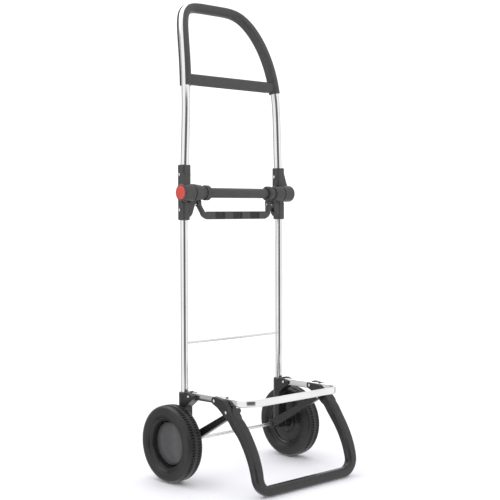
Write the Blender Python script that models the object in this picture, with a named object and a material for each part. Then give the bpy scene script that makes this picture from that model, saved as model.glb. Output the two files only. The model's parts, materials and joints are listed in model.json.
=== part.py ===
"""Folding two-wheel luggage cart, modelled piece by piece.

Metres, +Z up, floor at Z = 0.  X is lateral with the cart's mirror plane at X = 0, the loading
platform points to -Y (called "forward" here), and the origin is the middle of the footprint.
Side views are written as (forward, z) pairs, forward being measured from the axle.
"""

import math

import bmesh
import bpy
from mathutils import Matrix, Vector

# ---------------------------------------------------------------- driving dimensions
AXLE_Y = 0.0769            # world Y of the axle, so that the footprint is centred on the origin
FIT = 0.0003               # gap between pieces that touch
RUN = 0.0005               # gap between faces that slide past each other

WHEEL_RADIUS = 0.0825
WHEEL_X = 0.17925          # wheel's middle plane
WHEEL_HALF = 0.0225        # half the tyre's width
AXLE_RADIUS = 0.004

TUBE_X = 0.143             # lower tubes stand straight above the axle
TUBE_RADIUS = 0.008
TUBE_WALL = 0.0012
TUBE_BOTTOM = 0.096
TUBE_TOP = 0.600
ROD_Z = 0.294              # thin rod between the lower tubes
ROD_RADIUS = 0.0024

FOLD = (0.015, 0.618)      # handle's fold axis, (forward, z)
BARREL_RADIUS = 0.019
COLUMN = 0.0222            # side of the square plastic columns on the tubes
COLUMN_CORNER = 0.0075

ARCH_RADIUS = 0.0095       # upper tube
ARCH_WALL = 0.0012
ARCH_FOOT_Z = 0.642
ARCH_SPRING_Z = 0.815      # where the straight arms start to curve
ARCH_HALF = 0.1352
ARCH_RISE = 0.2198
ARM_LEAN = 0.036           # sideways run per unit of height below the arch
COVER_RADIUS = 0.0130
COVER_FOOT_Z = 0.847
CROSSBAR_Z = 0.862
CROSSBAR_HEIGHT = 0.024
CROSSBAR_DEPTH = 0.017

BAIL_AXIS = (0.003, 0.593)
BAIL_BAR = (0.0095, 0.5690)

PLATFORM_AXIS = (0.0265, 0.1825)
PLATFORM_SLOPE = 0.0164
PLATFORM_FRONT = 0.197     # middle of the front bar
BAR_X = 0.140              # middle of the side bars
BAR_WIDTH = 0.008
BAR_HEIGHT = 0.015
BAR_CORNER = 0.031

CHEEK_IN = 0.1305          # clevis cheeks on brackets and stand, inner and outer faces
CHEEK_OUT = 0.1555
SLOT_IN = BAR_X - BAR_WIDTH / 2 - RUN
SLOT_OUT = BAR_X + BAR_WIDTH / 2 + RUN

STAND_AXIS = (0.1095, 0.1845)
STRUT_PIN = (0.1465, 0.165)
AXLE = (0.0, WHEEL_RADIUS)
STRUT_IN = 0.1175
STRUT_OUT = CHEEK_IN - RUN
STRUT_HALF = 0.007

LEG_X = 0.1405
LEG_WIDTH = 0.025
FOOT = (0.229, 0.0106)
FOOT_HEIGHT = 0.0212
LEG_CORNER = 0.030

PIN_RADIUS = 0.0026
HEAD_RADIUS = 0.0044

# ---------------------------------------------------------------- scene and materials
for old in list(bpy.data.objects):
    bpy.data.objects.remove(old, do_unlink=True)


def material(name, colour, roughness, metallic=0.0):
    """One Principled material; colour is linear RGB."""
    made = bpy.data.materials.new(name)
    made.use_nodes = True
    shader = made.node_tree.nodes["Principled BSDF"]
    shader.inputs["Base Color"].default_value = (*colour, 1.0)
    shader.inputs["Roughness"].default_value = roughness
    shader.inputs["Metallic"].default_value = metallic
    return made


ALUMINIUM = material("polished_aluminium", (0.82, 0.82, 0.83), 0.16, 1.0)
STEEL = material("zinc_plated_steel", (0.62, 0.62, 0.64), 0.3, 1.0)
CHARCOAL = material("charcoal_plastic", (0.075, 0.075, 0.078), 0.42)
BLACK = material("black_plastic", (0.035, 0.035, 0.037), 0.4)
FOAM = material("black_foam_tyre", (0.03, 0.03, 0.032), 0.75)
CAP_GREY = material("grey_hub_cap", (0.1, 0.1, 0.105), 0.25)
RED = material("red_button", (0.68, 0.09, 0.07), 0.3)
NYLON = material("white_nylon", (0.75, 0.74, 0.7), 0.5)


def at(x, forward, z):
    """World point from a lateral place and a (forward, z) pair."""
    return Vector((x, AXLE_Y - forward, z))


def finish(name, bm, finish_material, sharp=35.0, origin=None, parent=None):
    """Turn a bmesh into a named object with its origin on its own axis."""
    bmesh.ops.remove_doubles(bm, verts=bm.verts, dist=1e-6)
    bmesh.ops.recalc_face_normals(bm, faces=bm.faces)
    start = origin.copy() if origin else Vector((0.0, 0.0, 0.0))
    bmesh.ops.translate(bm, verts=bm.verts, vec=-start)
    mesh = bpy.data.meshes.new(name)
    bm.to_mesh(mesh)
    bm.free()
    mesh.materials.append(finish_material)
    mesh.shade_smooth()
    mesh.set_sharp_from_angle(angle=math.radians(sharp))
    made = bpy.data.objects.new(name, mesh)
    bpy.context.scene.collection.objects.link(made)
    made.location = start
    if parent:
        made.parent = parent
        made.matrix_parent_inverse = Matrix.Translation(-parent.location)
    return made


def pivot(name, forward, z):
    """An empty on a joint's axis, the parent of everything that turns with it."""
    made = bpy.data.objects.new(name, None)
    made.location = at(0.0, forward, z)
    made.empty_display_size = 0.03
    bpy.context.scene.collection.objects.link(made)
    return made


# ---------------------------------------------------------------- shape helpers
def loft(bm, rings, closed=False):
    """Skin a list of equal rings; closed joins the last ring to the first."""
    loops = [[bm.verts.new(point) for point in ring] for ring in rings]
    count = len(loops[0])
    pairs = list(zip(loops, loops[1:]))
    if closed:
        pairs.append((loops[-1], loops[0]))
    for first, second in pairs:
        for k in range(count):
            n = (k + 1) % count
            bm.faces.new((first[k], first[n], second[n], second[k]))
    if not closed:
        bm.faces.new(list(reversed(loops[0])))
        bm.faces.new(loops[-1])


def circle(centre, radius, first, second, sides):
    """Points of a circle in the plane of two unit vectors."""
    points = []
    for k in range(sides):
        angle = 2 * math.pi * k / sides
        points.append(centre + first * (radius * math.cos(angle)) + second * (radius * math.sin(angle)))
    return points


AXES = {
    "X": (Vector((1, 0, 0)), Vector((0, 1, 0)), Vector((0, 0, 1))),
    "Z": (Vector((0, 0, 1)), Vector((1, 0, 0)), Vector((0, 1, 0))),
}


def turned(bm, profile, centre, axis="X", sides=32, closed=False):
    """Revolve (distance along the axis, radius) pairs about an axis through centre."""
    along, first, second = AXES[axis]
    rings = [circle(centre + along * step, radius, first, second, sides) for step, radius in profile]
    loft(bm, rings, closed)


def pin(bm, x0, x1, forward, z, radius, sides=12):
    """Plain round pin along X."""
    turned(bm, [(x0, radius), (x1, radius)], at(0.0, forward, z), "X", sides)


def arc(centre, radius, start, end, steps):
    """Points of a flat arc, in degrees, end points included."""
    points = []
    for k in range(steps + 1):
        angle = math.radians(start + (end - start) * k / steps)
        points.append((centre[0] + radius * math.cos(angle), centre[1] + radius * math.sin(angle)))
    return points


def rounded(width, height, corner, steps=3):
    """Rounded rectangle about (0, 0), counter-clockwise."""
    a = width / 2 - corner
    b = height / 2 - corner
    points = []
    for sign_x, sign_y, start in ((1, 1, 0), (-1, 1, 90), (-1, -1, 180), (1, -1, 270)):
        points += arc((sign_x * a, sign_y * b), corner, start, start + 90, steps)
    return points


def prism(bm, outline, x0, x1, edge=0.0):
    """Extrude a (forward, z) outline along X, with its two faces' edges chamfered."""
    if edge == 0.0:
        stations = [(x0, 0.0), (x1, 0.0)]
    else:
        stations = [(x0, edge), (x0 + edge, 0.0), (x1 - edge, 0.0), (x1, edge)]
    rings = []
    for x, inset in stations:
        rings.append([at(x, f, z) for f, z in shrink(outline, inset)])
    loft(bm, rings)


def shrink(outline, inset):
    """Move each side of a closed outline inwards by the same distance."""
    if inset == 0.0:
        return list(outline)
    count = len(outline)
    area = sum(outline[k - 1][0] * outline[k][1] - outline[k][0] * outline[k - 1][1] for k in range(count))
    turn = 1.0 if area > 0 else -1.0
    moved = []
    for k in range(count):
        before = Vector(outline[k - 1])
        here = Vector(outline[k])
        after = Vector(outline[(k + 1) % count])
        first = (here - before).normalized()
        second = (after - here).normalized()
        normal = Vector((-first.y - second.y, first.x + second.x)) * turn
        normal = normal.normalized()
        scale = max(0.5, normal.dot(Vector((-first.y, first.x)) * turn))
        moved.append(tuple(here + normal * (inset / scale)))
    return moved


def frames(path, reference):
    """Point, side and upper axis at each station of a path."""
    made = []
    for k, point in enumerate(path):
        before = path[max(k - 1, 0)]
        after = path[min(k + 1, len(path) - 1)]
        tangent = (after - before).normalized()
        upper = (reference - tangent * reference.dot(tangent)).normalized()
        made.append((point, tangent.cross(upper), upper))
    return made


def sweep(bm, path, reference, section):
    """Solid along a path; section(k) gives the (side, upper) outline at station k."""
    rings = []
    for k, (point, side, upper) in enumerate(frames(path, reference)):
        rings.append([point + side * a + upper * b for a, b in section(k)])
    loft(bm, rings)


def hollow_sweep(bm, path, reference, radius, wall):
    """Open-ended tube of ten sides along a path."""
    outer = []
    inner = []
    for point, side, upper in frames(path, reference):
        for rings, size in ((outer, radius), (inner, radius - wall)):
            rings.append([point + side * a + upper * b for a, b in arc((0.0, 0.0), size, 18, 342, 9)])
    loft(bm, outer + inner[::-1], closed=True)


def combine(target, build, operation):
    """Boolean the target with a throw-away solid that build(bm) makes."""
    bm = bmesh.new()
    build(bm)
    tool = finish("tool", bm, target.data.materials[0])
    tool.hide_render = True
    tool.display_type = "WIRE"
    step = target.modifiers.new("boolean", "BOOLEAN")
    step.operation = operation
    step.solver = "EXACT"
    step.object = tool
    bpy.context.view_layer.update()
    graph = bpy.context.evaluated_depsgraph_get()
    result = bpy.data.meshes.new_from_object(target.evaluated_get(graph))
    target.modifiers.remove(step)
    spent = target.data
    target.data = result
    result.name = target.name
    bpy.data.meshes.remove(spent)
    bpy.data.objects.remove(tool, do_unlink=True)
    tidy = bmesh.new()
    tidy.from_mesh(result)
    bmesh.ops.remove_doubles(tidy, verts=tidy.verts, dist=2e-6)
    bmesh.ops.dissolve_degenerate(tidy, edges=tidy.edges, dist=2e-6)
    tidy.to_mesh(result)
    tidy.free()
    result.shade_smooth()
    result.set_sharp_from_angle(angle=math.radians(35.0))


def cut(target, build):
    combine(target, build, "DIFFERENCE")


def fuse(target, build):
    combine(target, build, "UNION")


def mirrored(outline_x, side):
    """Lateral interval on one side of the cart, lowest first."""
    return tuple(sorted((side * outline_x[0], side * outline_x[1])))


SIDES = (("left", -1), ("right", 1))
DOME = [(0.0, HEAD_RADIUS), (0.0011, HEAD_RADIUS * 0.82), (0.0018, HEAD_RADIUS * 0.3)]


def rivets(name, inner, outer, forward, z, parent=None, inner_head=True, outer_head=True):
    """A pair of rivets along X: a shank, and a domed head at each end that has one."""
    for label, side in SIDES:
        profile = [(inner - FIT, PIN_RADIUS), (outer + FIT, PIN_RADIUS)]
        if inner_head:
            profile = [(inner - FIT - step, radius) for step, radius in reversed(DOME)] + profile
        if outer_head:
            profile += [(outer + FIT + step, radius) for step, radius in DOME]
        bm = bmesh.new()
        turned(bm, [(side * x, radius) for x, radius in profile], at(0.0, forward, z), "X", 10)
        finish(name + "_" + label, bm, STEEL, parent=parent)


def drill(target, inner, outer, side, forward, z, radius=PIN_RADIUS + FIT, sides=10):
    """Round hole along X."""
    x0, x1 = mirrored((inner, outer), side)
    cut(target, lambda bm: pin(bm, x0, x1, forward, z, radius, sides))


# ---------------------------------------------------------------- lower frame
for label, side in SIDES:
    bm = bmesh.new()
    wall_profile = [(TUBE_BOTTOM, TUBE_RADIUS), (TUBE_TOP, TUBE_RADIUS)]
    wall_profile += [(TUBE_TOP, TUBE_RADIUS - TUBE_WALL), (TUBE_BOTTOM, TUBE_RADIUS - TUBE_WALL)]
    turned(bm, wall_profile, at(side * TUBE_X, 0.0, 0.0), "Z", 18, closed=True)
    lower_tube = finish("lower_tube_" + label, bm, ALUMINIUM)
    drill(lower_tube, TUBE_X - 0.01, TUBE_X + 0.01, side, 0.0, 0.581)

bm = bmesh.new()
rod_half = TUBE_X - TUBE_RADIUS - FIT
pin(bm, -rod_half, rod_half, 0.0, ROD_Z, ROD_RADIUS, 12)
finish("cross_rod", bm, STEEL)


def column(bm, middle, width, z0, z1):
    """Upright rounded column about a lateral place."""
    edge = 0.0022
    rings = []
    for z, inset in ((z0, edge), (z0 + edge, 0.0), (z1 - edge, 0.0), (z1, edge)):
        outline = rounded(width - 2 * inset, COLUMN - 2 * inset, COLUMN_CORNER - inset * 0.5, 3)
        rings.append([at(middle + a, b, z) for a, b in outline])
    loft(bm, rings)


# Axle bracket: a rounded column round the tube's foot, with a clevis for the platform bar.
BRACKET = (0.0800, 0.1890)


def bracket_outline():
    """Side view of the clevis and of the foot round the axle."""
    outline = [(-0.0020, 0.1882), (-0.0020, 0.1000), (-0.0106, 0.0840)]
    outline += arc(AXLE, 0.0118, 207, 333, 7)
    outline += [(0.0114, 0.0860), (0.0116, 0.1570)]
    outline += arc(PLATFORM_AXIS, 0.0126, -28, 10, 4)
    outline += [(0.0310, 0.1884), (0.0222, 0.1918), (0.0135, 0.1915), (0.0105, 0.1882)]
    return outline


for label, side in SIDES:
    bm = bmesh.new()
    x0, x1 = mirrored((CHEEK_IN, CHEEK_OUT), side)
    prism(bm, bracket_outline(), x0, x1, 0.0016)
    bracket = finish("axle_bracket_" + label, bm, BLACK)
    fuse(bracket, lambda bm: column(bm, side * TUBE_X, COLUMN, *BRACKET))
    slot_x0, slot_x1 = mirrored((SLOT_IN, SLOT_OUT), side)
    floor_z = PLATFORM_AXIS[1] - BAR_HEIGHT / 2 - 0.0012
    wall_f = PLATFORM_AXIS[0] - BAR_HEIGHT / 2 - 0.0012
    slot = arc(PLATFORM_AXIS, BAR_HEIGHT / 2 + 0.0012, 180, 270, 6)
    slot += [(0.06, floor_z), (0.06, 0.22), (wall_f, 0.22)]
    cut(bracket, lambda bm: prism(bm, slot, slot_x0, slot_x1))
    bore = [(0.0955, TUBE_RADIUS + FIT), (0.21, TUBE_RADIUS + FIT)]
    cut(bracket, lambda bm: turned(bm, bore, at(side * TUBE_X, 0.0, 0.0), "Z", 18))
    drill(bracket, 0.12, 0.17, side, *AXLE, radius=AXLE_RADIUS + FIT)
    drill(bracket, 0.12, 0.17, side, *PLATFORM_AXIS)

rivets("platform_pivot_rivet", CHEEK_IN, CHEEK_OUT, *PLATFORM_AXIS)

AXLE_END = 0.1815
bm = bmesh.new()
axle_profile = [(-AXLE_END, 0.003), (-AXLE_END + 0.001, AXLE_RADIUS)]
axle_profile += [(AXLE_END - 0.001, AXLE_RADIUS), (AXLE_END, 0.003)]
turned(bm, axle_profile, at(0.0, *AXLE), "X", 20)
finish("axle_rod", bm, STEEL)


def washers(name, place, inner_radius, outer_radius, forward, z, finish_material):
    """A pair of flat rings about an X axis, one on each side."""
    for label, side in SIDES:
        x0, x1 = mirrored(place, side)
        ring = [(x0, inner_radius), (x0, outer_radius), (x1, outer_radius), (x1, inner_radius)]
        bm = bmesh.new()
        turned(bm, ring, at(0.0, forward, z), "X", 12, closed=True)
        finish(name + "_" + label, bm, finish_material)


HUB_IN = 0.1578
HUB_OUT = 0.1782
washers("axle_washer", (CHEEK_OUT + FIT, HUB_IN - RUN), AXLE_RADIUS + FIT, 0.0085, *AXLE, STEEL)
washers("axle_push_nut", (HUB_OUT + RUN, HUB_OUT + 0.0021), AXLE_RADIUS + FIT, 0.0075, *AXLE, STEEL)
washers("strut_ring", (STRUT_IN - 0.0017, STRUT_IN - RUN), AXLE_RADIUS + FIT, 0.0068, *AXLE, BLACK)

# ---------------------------------------------------------------- wheels
TYRE_SEAT = 0.0532


def tyre_outline():
    """(x, radius) of the tyre's section, x = 0 in its middle plane, outer side positive."""
    outer = [(0.0, WHEEL_RADIUS), (0.0105, WHEEL_RADIUS), (0.0165, 0.0805), (0.0203, 0.0765)]
    outer += [(0.0221, 0.0712), (WHEEL_HALF, 0.0660), (0.0210, 0.0600), (0.017, 0.0575)]
    outer += [(0.013, TYRE_SEAT)]
    inner = [(-x, r) for x, r in reversed(outer[1:])]
    return outer + inner


def rim_outline():
    """(x, radius) of the rim: barrel, thin web and hub."""
    seat = TYRE_SEAT - FIT
    hub_in = HUB_IN - WHEEL_X
    hub_out = HUB_OUT - WHEEL_X
    outline = [(0.0125, seat), (0.0125, 0.0505), (0.0035, 0.0492), (-0.0012, 0.047), (-0.0018, 0.0125)]
    outline += [(hub_out, 0.0115), (hub_out, 0.0092), (hub_in, 0.0092), (hub_in, 0.0125)]
    outline += [(-0.0052, 0.0135), (-0.0062, 0.046), (-0.0125, 0.0502), (-0.0125, seat)]
    return outline


CAP_EDGE = 0.0462


def cap_outline():
    """(x, radius) of the domed hub cap, a shell with a short spigot inside the rim."""
    dome = [(0.0105, 0.0006), (0.0102, 0.015), (0.0088, 0.031), (0.0060, 0.0415), (0.0032, CAP_EDGE)]
    inside = [(0.0003, CAP_EDGE), (0.0003, 0.0445), (0.0044, 0.0402), (0.0072, 0.030), (0.0087, 0.0006)]
    return dome, inside


for label, side in SIDES:
    hub = at(side * WHEEL_X, *AXLE)
    parent = pivot("wheel_axis_" + label, *AXLE)

    bm = bmesh.new()
    turned(bm, [(side * x, r) for x, r in tyre_outline()], hub, "X", 36, closed=True)
    finish("tyre_" + label, bm, FOAM, parent=parent)

    bm = bmesh.new()
    turned(bm, [(side * x, r) for x, r in rim_outline()], hub, "X", 24, closed=True)
    finish("wheel_rim_" + label, bm, BLACK, parent=parent)

    bm = bmesh.new()
    dome, inside = cap_outline()
    turned(bm, [(side * x, r) for x, r in dome + inside], hub, "X", 24)
    finish("hub_cap_" + label, bm, CAP_GREY, parent=parent)

    for place, x0, x1 in (("inner", HUB_IN, HUB_IN + 0.007), ("outer", HUB_OUT - 0.007, HUB_OUT)):
        sleeve = [(side * x0, AXLE_RADIUS + FIT), (side * x0, 0.0089), (side * x1, 0.0089)]
        sleeve += [(side * x1, AXLE_RADIUS + FIT)]
        bm = bmesh.new()
        turned(bm, sleeve, at(0.0, *AXLE), "X", 12, closed=True)
        finish("wheel_bush_" + place + "_" + label, bm, NYLON, parent=parent)

# ---------------------------------------------------------------- platform
platform_pivot = pivot("platform_axis", *PLATFORM_AXIS)


def platform_path():
    """Middle line of the U bar, from the left pivot round the front to the right pivot."""
    flat = [(-BAR_X, -BAR_HEIGHT / 2)]
    flat += [(-BAR_X, -BAR_HEIGHT / 2 + step) for step in (0.0006, 0.0022, 0.0045, 0.0075)]
    flat += [(-BAR_X, 0.06)]
    reach = PLATFORM_FRONT - PLATFORM_AXIS[0]
    flat += arc((-BAR_X + BAR_CORNER, reach - BAR_CORNER), BAR_CORNER, 180, 90, 8)
    points = flat + [(-x, f) for x, f in reversed(flat)]
    path = []
    for x, run in points:
        path.append(at(x, PLATFORM_AXIS[0] + run, PLATFORM_AXIS[1] + PLATFORM_SLOPE * run))
    return path


def platform_section(k, count):
    """Bar outline at a station; the two ends are rounded off about the pivot."""
    step = min(k, count - 1 - k)
    heights = (0.08, 0.38, 0.70, 0.92)
    scale = heights[step] if step < len(heights) else 1.0
    return [(a, b * scale) for a, b in rounded(BAR_WIDTH, BAR_HEIGHT, 0.0026, 2)]


bm = bmesh.new()
path = platform_path()
sweep(bm, path, Vector((0, 0, 1)), lambda k: platform_section(k, len(path)))
platform_bar = finish("platform_bar", bm, ALUMINIUM, origin=at(0.0, *PLATFORM_AXIS), parent=platform_pivot)
for label, side in SIDES:
    drill(platform_bar, 0.13, 0.15, side, *PLATFORM_AXIS, radius=PIN_RADIUS + RUN)
    drill(platform_bar, 0.13, 0.15, side, *STAND_AXIS)

STUD_F = 0.134
stud_z = PLATFORM_AXIS[1] + PLATFORM_SLOPE * (STUD_F - PLATFORM_AXIS[0]) + BAR_HEIGHT / 2 + 0.0004
for label, side in SIDES:
    bm = bmesh.new()
    stud = [(0.0, 0.0036), (0.0012, 0.0036), (0.0020, 0.0020)]
    turned(bm, stud, at(side * BAR_X, STUD_F, stud_z), "Z", 12)
    finish("platform_stud_" + label, bm, BLACK, parent=platform_pivot)

rivets("stand_pivot_rivet", CHEEK_IN, CHEEK_OUT, *STAND_AXIS, parent=platform_pivot)

# ---------------------------------------------------------------- stand
stand_pivot = pivot("stand_axis", *STAND_AXIS)


def leg_forward(z):
    """Forward place of the leg's middle line, a parabola in height."""
    return 0.2266 + 0.1078 * z - 3.622 * z * z


def leg_side(z):
    """Lateral place of the leg's middle line, which moves out to the head's middle at its top."""
    return LEG_X + 0.0023 * max(0.0, min(1.0, (z - 0.125) / 0.02))


def stand_path():
    """Middle line of the stand: down the left leg, along the foot bar, up the right leg."""
    points = []
    for z in (0.158, 0.150, 0.140, 0.130, 0.118, 0.105, 0.092, 0.078, 0.064, 0.052, 0.041):
        points.append((-leg_side(z), leg_forward(z), z))
    corner = arc((-LEG_X + LEG_CORNER, FOOT[1] + LEG_CORNER), LEG_CORNER, 180, 270, 8)
    for x, z in corner[1:]:
        blend = (x + LEG_X) / LEG_CORNER
        points.append((x, leg_forward(z) * (1 - blend) + FOOT[0] * blend, z))
    points += [(-x, f, z) for x, f, z in reversed(points)]
    return [at(x, f, z) for x, f, z in points]


def stand_section(point):
    """Leg outline: 25 mm wide at the side, deeper towards the top, slimmer along the foot bar."""
    rise = max(0.0, min(1.0, (point.z - FOOT[1]) / 0.04))
    width = FOOT_HEIGHT + (LEG_WIDTH - FOOT_HEIGHT) * rise
    depth = 0.0205 + 0.032 * max(0.0, point.z - 0.05) + 1.76 * max(0.0, point.z - 0.105) ** 2
    depth -= 0.40 * max(0.0, point.z - 0.140)
    return rounded(width, depth, 0.0068, 2)


def head_outline():
    """Side view of the stand's head, round the pivot at its rear end."""
    outline = arc(STAND_AXIS, 0.0088, 80, 230, 7)
    outline += [(0.1190, 0.1715), (0.1345, 0.1600), (0.1490, 0.1475)]
    outline += [(0.1712, 0.1550), (0.1655, 0.1620), (0.1580, 0.1687), (0.1513, 0.1750)]
    return outline + [(0.1462, 0.1820), (0.1408, 0.1878), (0.1350, 0.1903)]


bm = bmesh.new()
path = stand_path()
sweep(bm, path, Vector((0, -1, 0)), lambda k: stand_section(path[k]))
stand = finish("stand_loop", bm, BLACK, origin=at(0.0, *STAND_AXIS), parent=stand_pivot)
for label, side in SIDES:
    head_x = mirrored((CHEEK_IN, CHEEK_OUT), side)
    fuse(stand, lambda bm: prism(bm, head_outline(), *head_x, 0.0015))
for label, side in SIDES:
    slot_x = mirrored((SLOT_IN, SLOT_OUT), side)
    room = BAR_HEIGHT / 2 + 0.0012
    floor_f = STAND_AXIS[0] + room + 0.0015
    floor_z = STAND_AXIS[1] - room
    slot = [(floor_f, floor_z), (floor_f + 0.1, floor_z + 0.1 * PLATFORM_SLOPE), (floor_f + 0.1, 0.22)]
    slot += [(floor_f - 0.04, 0.22), (floor_f - 0.04, 0.13), (floor_f + 0.0095, 0.13)]
    cut(stand, lambda bm: prism(bm, slot, *slot_x))
    drill(stand, 0.12, 0.17, side, *STAND_AXIS, radius=PIN_RADIUS + RUN)
    drill(stand, 0.12, 0.17, side, *STRUT_PIN)

# The linkage is opened at the strut's upper pivot: this rivet ends flush with the leg's inner face.
rivets("strut_upper_rivet", CHEEK_IN + 2 * FIT, CHEEK_OUT, *STRUT_PIN, parent=stand_pivot, inner_head=False)

# ---------------------------------------------------------------- struts
strut_pivot = pivot("strut_axis", *AXLE)


def strut_outline():
    """Flat bar with a larger eye on the axle and a round end at the stand."""
    rise = math.degrees(math.atan2(STRUT_PIN[1] - AXLE[1], STRUT_PIN[0] - AXLE[0]))
    outline = arc(STRUT_PIN, STRUT_HALF, rise - 90, rise + 90, 6)
    outline += arc(AXLE, 0.0105, rise + 60, rise + 300, 9)
    return outline


for label, side in SIDES:
    bm = bmesh.new()
    x0, x1 = mirrored((STRUT_IN, STRUT_OUT), side)
    prism(bm, strut_outline(), x0, x1, 0.0015)
    strut = finish("strut_" + label, bm, BLACK, origin=at(0.0, *AXLE), parent=strut_pivot)
    drill(strut, 0.11, 0.14, side, *AXLE, radius=AXLE_RADIUS + RUN)
    drill(strut, 0.11, 0.14, side, *STRUT_PIN)

rivets("strut_end_stud", STRUT_IN, STRUT_OUT - 2 * FIT, *STRUT_PIN, parent=strut_pivot, outer_head=False)

# ---------------------------------------------------------------- fold joint, lower half
INNER_BARREL = (0.1085, 0.1325)
HINGE_WASHER = (0.1330, 0.1338)
OUTER_BARREL = (0.1341, 0.1650)
SHAFT_RADIUS = 0.004
LOWER_COLUMN = (0.559, 0.6172)
UPPER_COLUMN = (0.6178, 0.678)
LOWER_RIVET_Z = 0.581
UPPER_RIVET_Z = 0.6565
UPPER_COLUMN_X = 0.1417    # middle and width of the upper columns
UPPER_COLUMN_WIDTH = 0.0248
BOSS = 0.0016              # height of the small round bosses under the rivet heads


def barrel(bm, interval, side, radius_inner, radius_outer, round_inner=0.0, round_outer=0.0):
    """Round barrel on the fold axis; each end may be rounded."""
    x0, x1 = interval
    profile = [(x0, radius_inner - round_inner), (x0 + 0.3 * round_inner, radius_inner - 0.3 * round_inner)]
    profile += [(x0 + round_inner + 1e-5, radius_inner), (x1 - round_outer - 1e-5, radius_outer)]
    profile += [(x1 - 0.3 * round_outer, radius_outer - 0.3 * round_outer), (x1, radius_outer - round_outer)]
    clean = []
    for x, r in profile:
        if not clean or abs(x - clean[-1][0]) + abs(r - clean[-1][1]) > 1e-6:
            clean.append((x, r))
    turned(bm, [(side * x, r) for x, r in clean], at(0.0, *FOLD), "X", 28)


for label, side in SIDES:
    bm = bmesh.new()
    column(bm, side * TUBE_X, COLUMN, *LOWER_COLUMN)
    knuckle = finish("knuckle_lower_" + label, bm, CHARCOAL)
    # room for the upper half's barrel and for its swing
    sweep_x = mirrored((INNER_BARREL[1] + 0.0003, 0.18), side)
    cut(knuckle, lambda bm: pin(bm, *sweep_x, *FOLD, BARREL_RADIUS + RUN, 32))
    front = [(0.005, 0.598), (0.05, 0.598), (0.05, 0.64), (0.005, 0.64)]
    cut(knuckle, lambda bm: prism(bm, front, *sweep_x))
    fuse(knuckle, lambda bm: barrel(bm, INNER_BARREL, side, 0.0166, BARREL_RADIUS, 0.003, 0.0))

    def web_build(bm):
        """Tapered web from the column's inner face up to the inner barrel."""
        rings = []
        for z, x_in, half in ((0.5665, 0.1305, 0.0084), (0.572, 0.1265, 0.0092), (0.599, 0.1165, 0.0092),
                              (0.6145, 0.1155, 0.0092)):
            rings.append([at(side * x_in, half, z), at(side * 0.1350, half, z),
                          at(side * 0.1350, -half, z), at(side * x_in, -half, z)])
        loft(bm, rings)

    fuse(knuckle, web_build)
    cut(knuckle, lambda bm: pin(bm, *sweep_x, *FOLD, BARREL_RADIUS + RUN, 32))
    boss_x = mirrored((TUBE_X - COLUMN / 2 - BOSS, TUBE_X + COLUMN / 2 + BOSS), side)
    fuse(knuckle, lambda bm: pin(bm, *boss_x, 0.0, LOWER_RIVET_Z, 0.0055))
    bore = [(0.55, TUBE_RADIUS + FIT), (TUBE_TOP + FIT, TUBE_RADIUS + FIT)]
    cut(knuckle, lambda bm: turned(bm, bore, at(side * TUBE_X, 0.0, 0.0), "Z", 18))
    drill(knuckle, 0.10, 0.14, side, *FOLD, radius=SHAFT_RADIUS + FIT)
    drill(knuckle, 0.10, 0.17, side, 0.0, LOWER_RIVET_Z)
    drill(knuckle, 0.10, TUBE_X - COLUMN / 2 - BOSS, side, 0.0, LOWER_RIVET_Z, radius=HEAD_RADIUS + 0.0006)
    drill(knuckle, 0.10, 0.122, side, *BAIL_AXIS)

boss_reach = COLUMN / 2 + BOSS
rivets("knuckle_lower_rivet", TUBE_X - boss_reach, TUBE_X + boss_reach, 0.0, LOWER_RIVET_Z)

bm = bmesh.new()
SHAFT_LEFT = -0.1460
SHAFT_RIGHT = 0.1590
pin(bm, SHAFT_LEFT, SHAFT_RIGHT, *FOLD, SHAFT_RADIUS, 20)
finish("fold_shaft", bm, STEEL)

washers("fold_washer", HINGE_WASHER, SHAFT_RADIUS + FIT, 0.0150, *FOLD, BLACK)

GRIP_END = 0.0905
bm = bmesh.new()
grip = [(-GRIP_END, 0.011), (GRIP_END, 0.011), (GRIP_END, SHAFT_RADIUS + FIT), (-GRIP_END, SHAFT_RADIUS + FIT)]
turned(bm, grip, at(0.0, *FOLD), "X", 24, closed=True)
finish("grip_tube", bm, CHARCOAL)

for label, side in SIDES:
    bm = bmesh.new()
    ring = [(0.0875, 0.011 + FIT), (0.0875, 0.0150), (0.0890, 0.0165), (0.0975, 0.0165), (0.0990, 0.0155)]
    ring += [(0.0992, 0.0130), (0.1082, 0.0130), (0.1082, SHAFT_RADIUS + FIT)]
    ring += [(GRIP_END + FIT, SHAFT_RADIUS + FIT), (GRIP_END + FIT, 0.011 + FIT)]
    turned(bm, [(side * x, r) for x, r in ring], at(0.0, *FOLD), "X", 24, closed=True)
    finish("grip_collar_" + label, bm, CHARCOAL)

# ---------------------------------------------------------------- carry bail
bail_pivot = pivot("bail_axis", *BAIL_AXIS)
BAIL_TOP_X = 0.105
BAIL_LOBE = 0.0055          # the arms reach above the pins by this much
BAIL_FOOT_X = 0.0990

for label, side in SIDES:
    bm = bmesh.new()
    pin(bm, *mirrored((0.1003, 0.1216), side), *BAIL_AXIS, PIN_RADIUS)
    finish("bail_pin_" + label, bm, STEEL)


def bail_path():
    """Down one arm, round the corner, along the bar and up the other arm."""
    top_f, top_z = BAIL_AXIS
    bar_f, bar_z = BAIL_BAR
    points = [(-BAIL_TOP_X, top_f, top_z + BAIL_LOBE), (-BAIL_TOP_X, top_f, top_z)]
    points.append((-BAIL_TOP_X + 0.0042, top_f + 0.0035, top_z - 0.0115))
    for x, z in arc((-BAIL_FOOT_X + 0.0075, bar_z + 0.0075), 0.0075, 180, 270, 5):
        points.append((x, bar_f - 0.05 * (z - bar_z), z))
    points += [(-0.066, bar_f, bar_z)]
    for k in range(13):
        points.append((-0.055 + 0.11 * k / 12, bar_f, bar_z))
    points += [(0.066, bar_f, bar_z)]
    half = [p for p in points if p[0] < -0.06]
    points += [(-x, f, z) for x, f, z in reversed(half)][1:]
    return points


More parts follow.
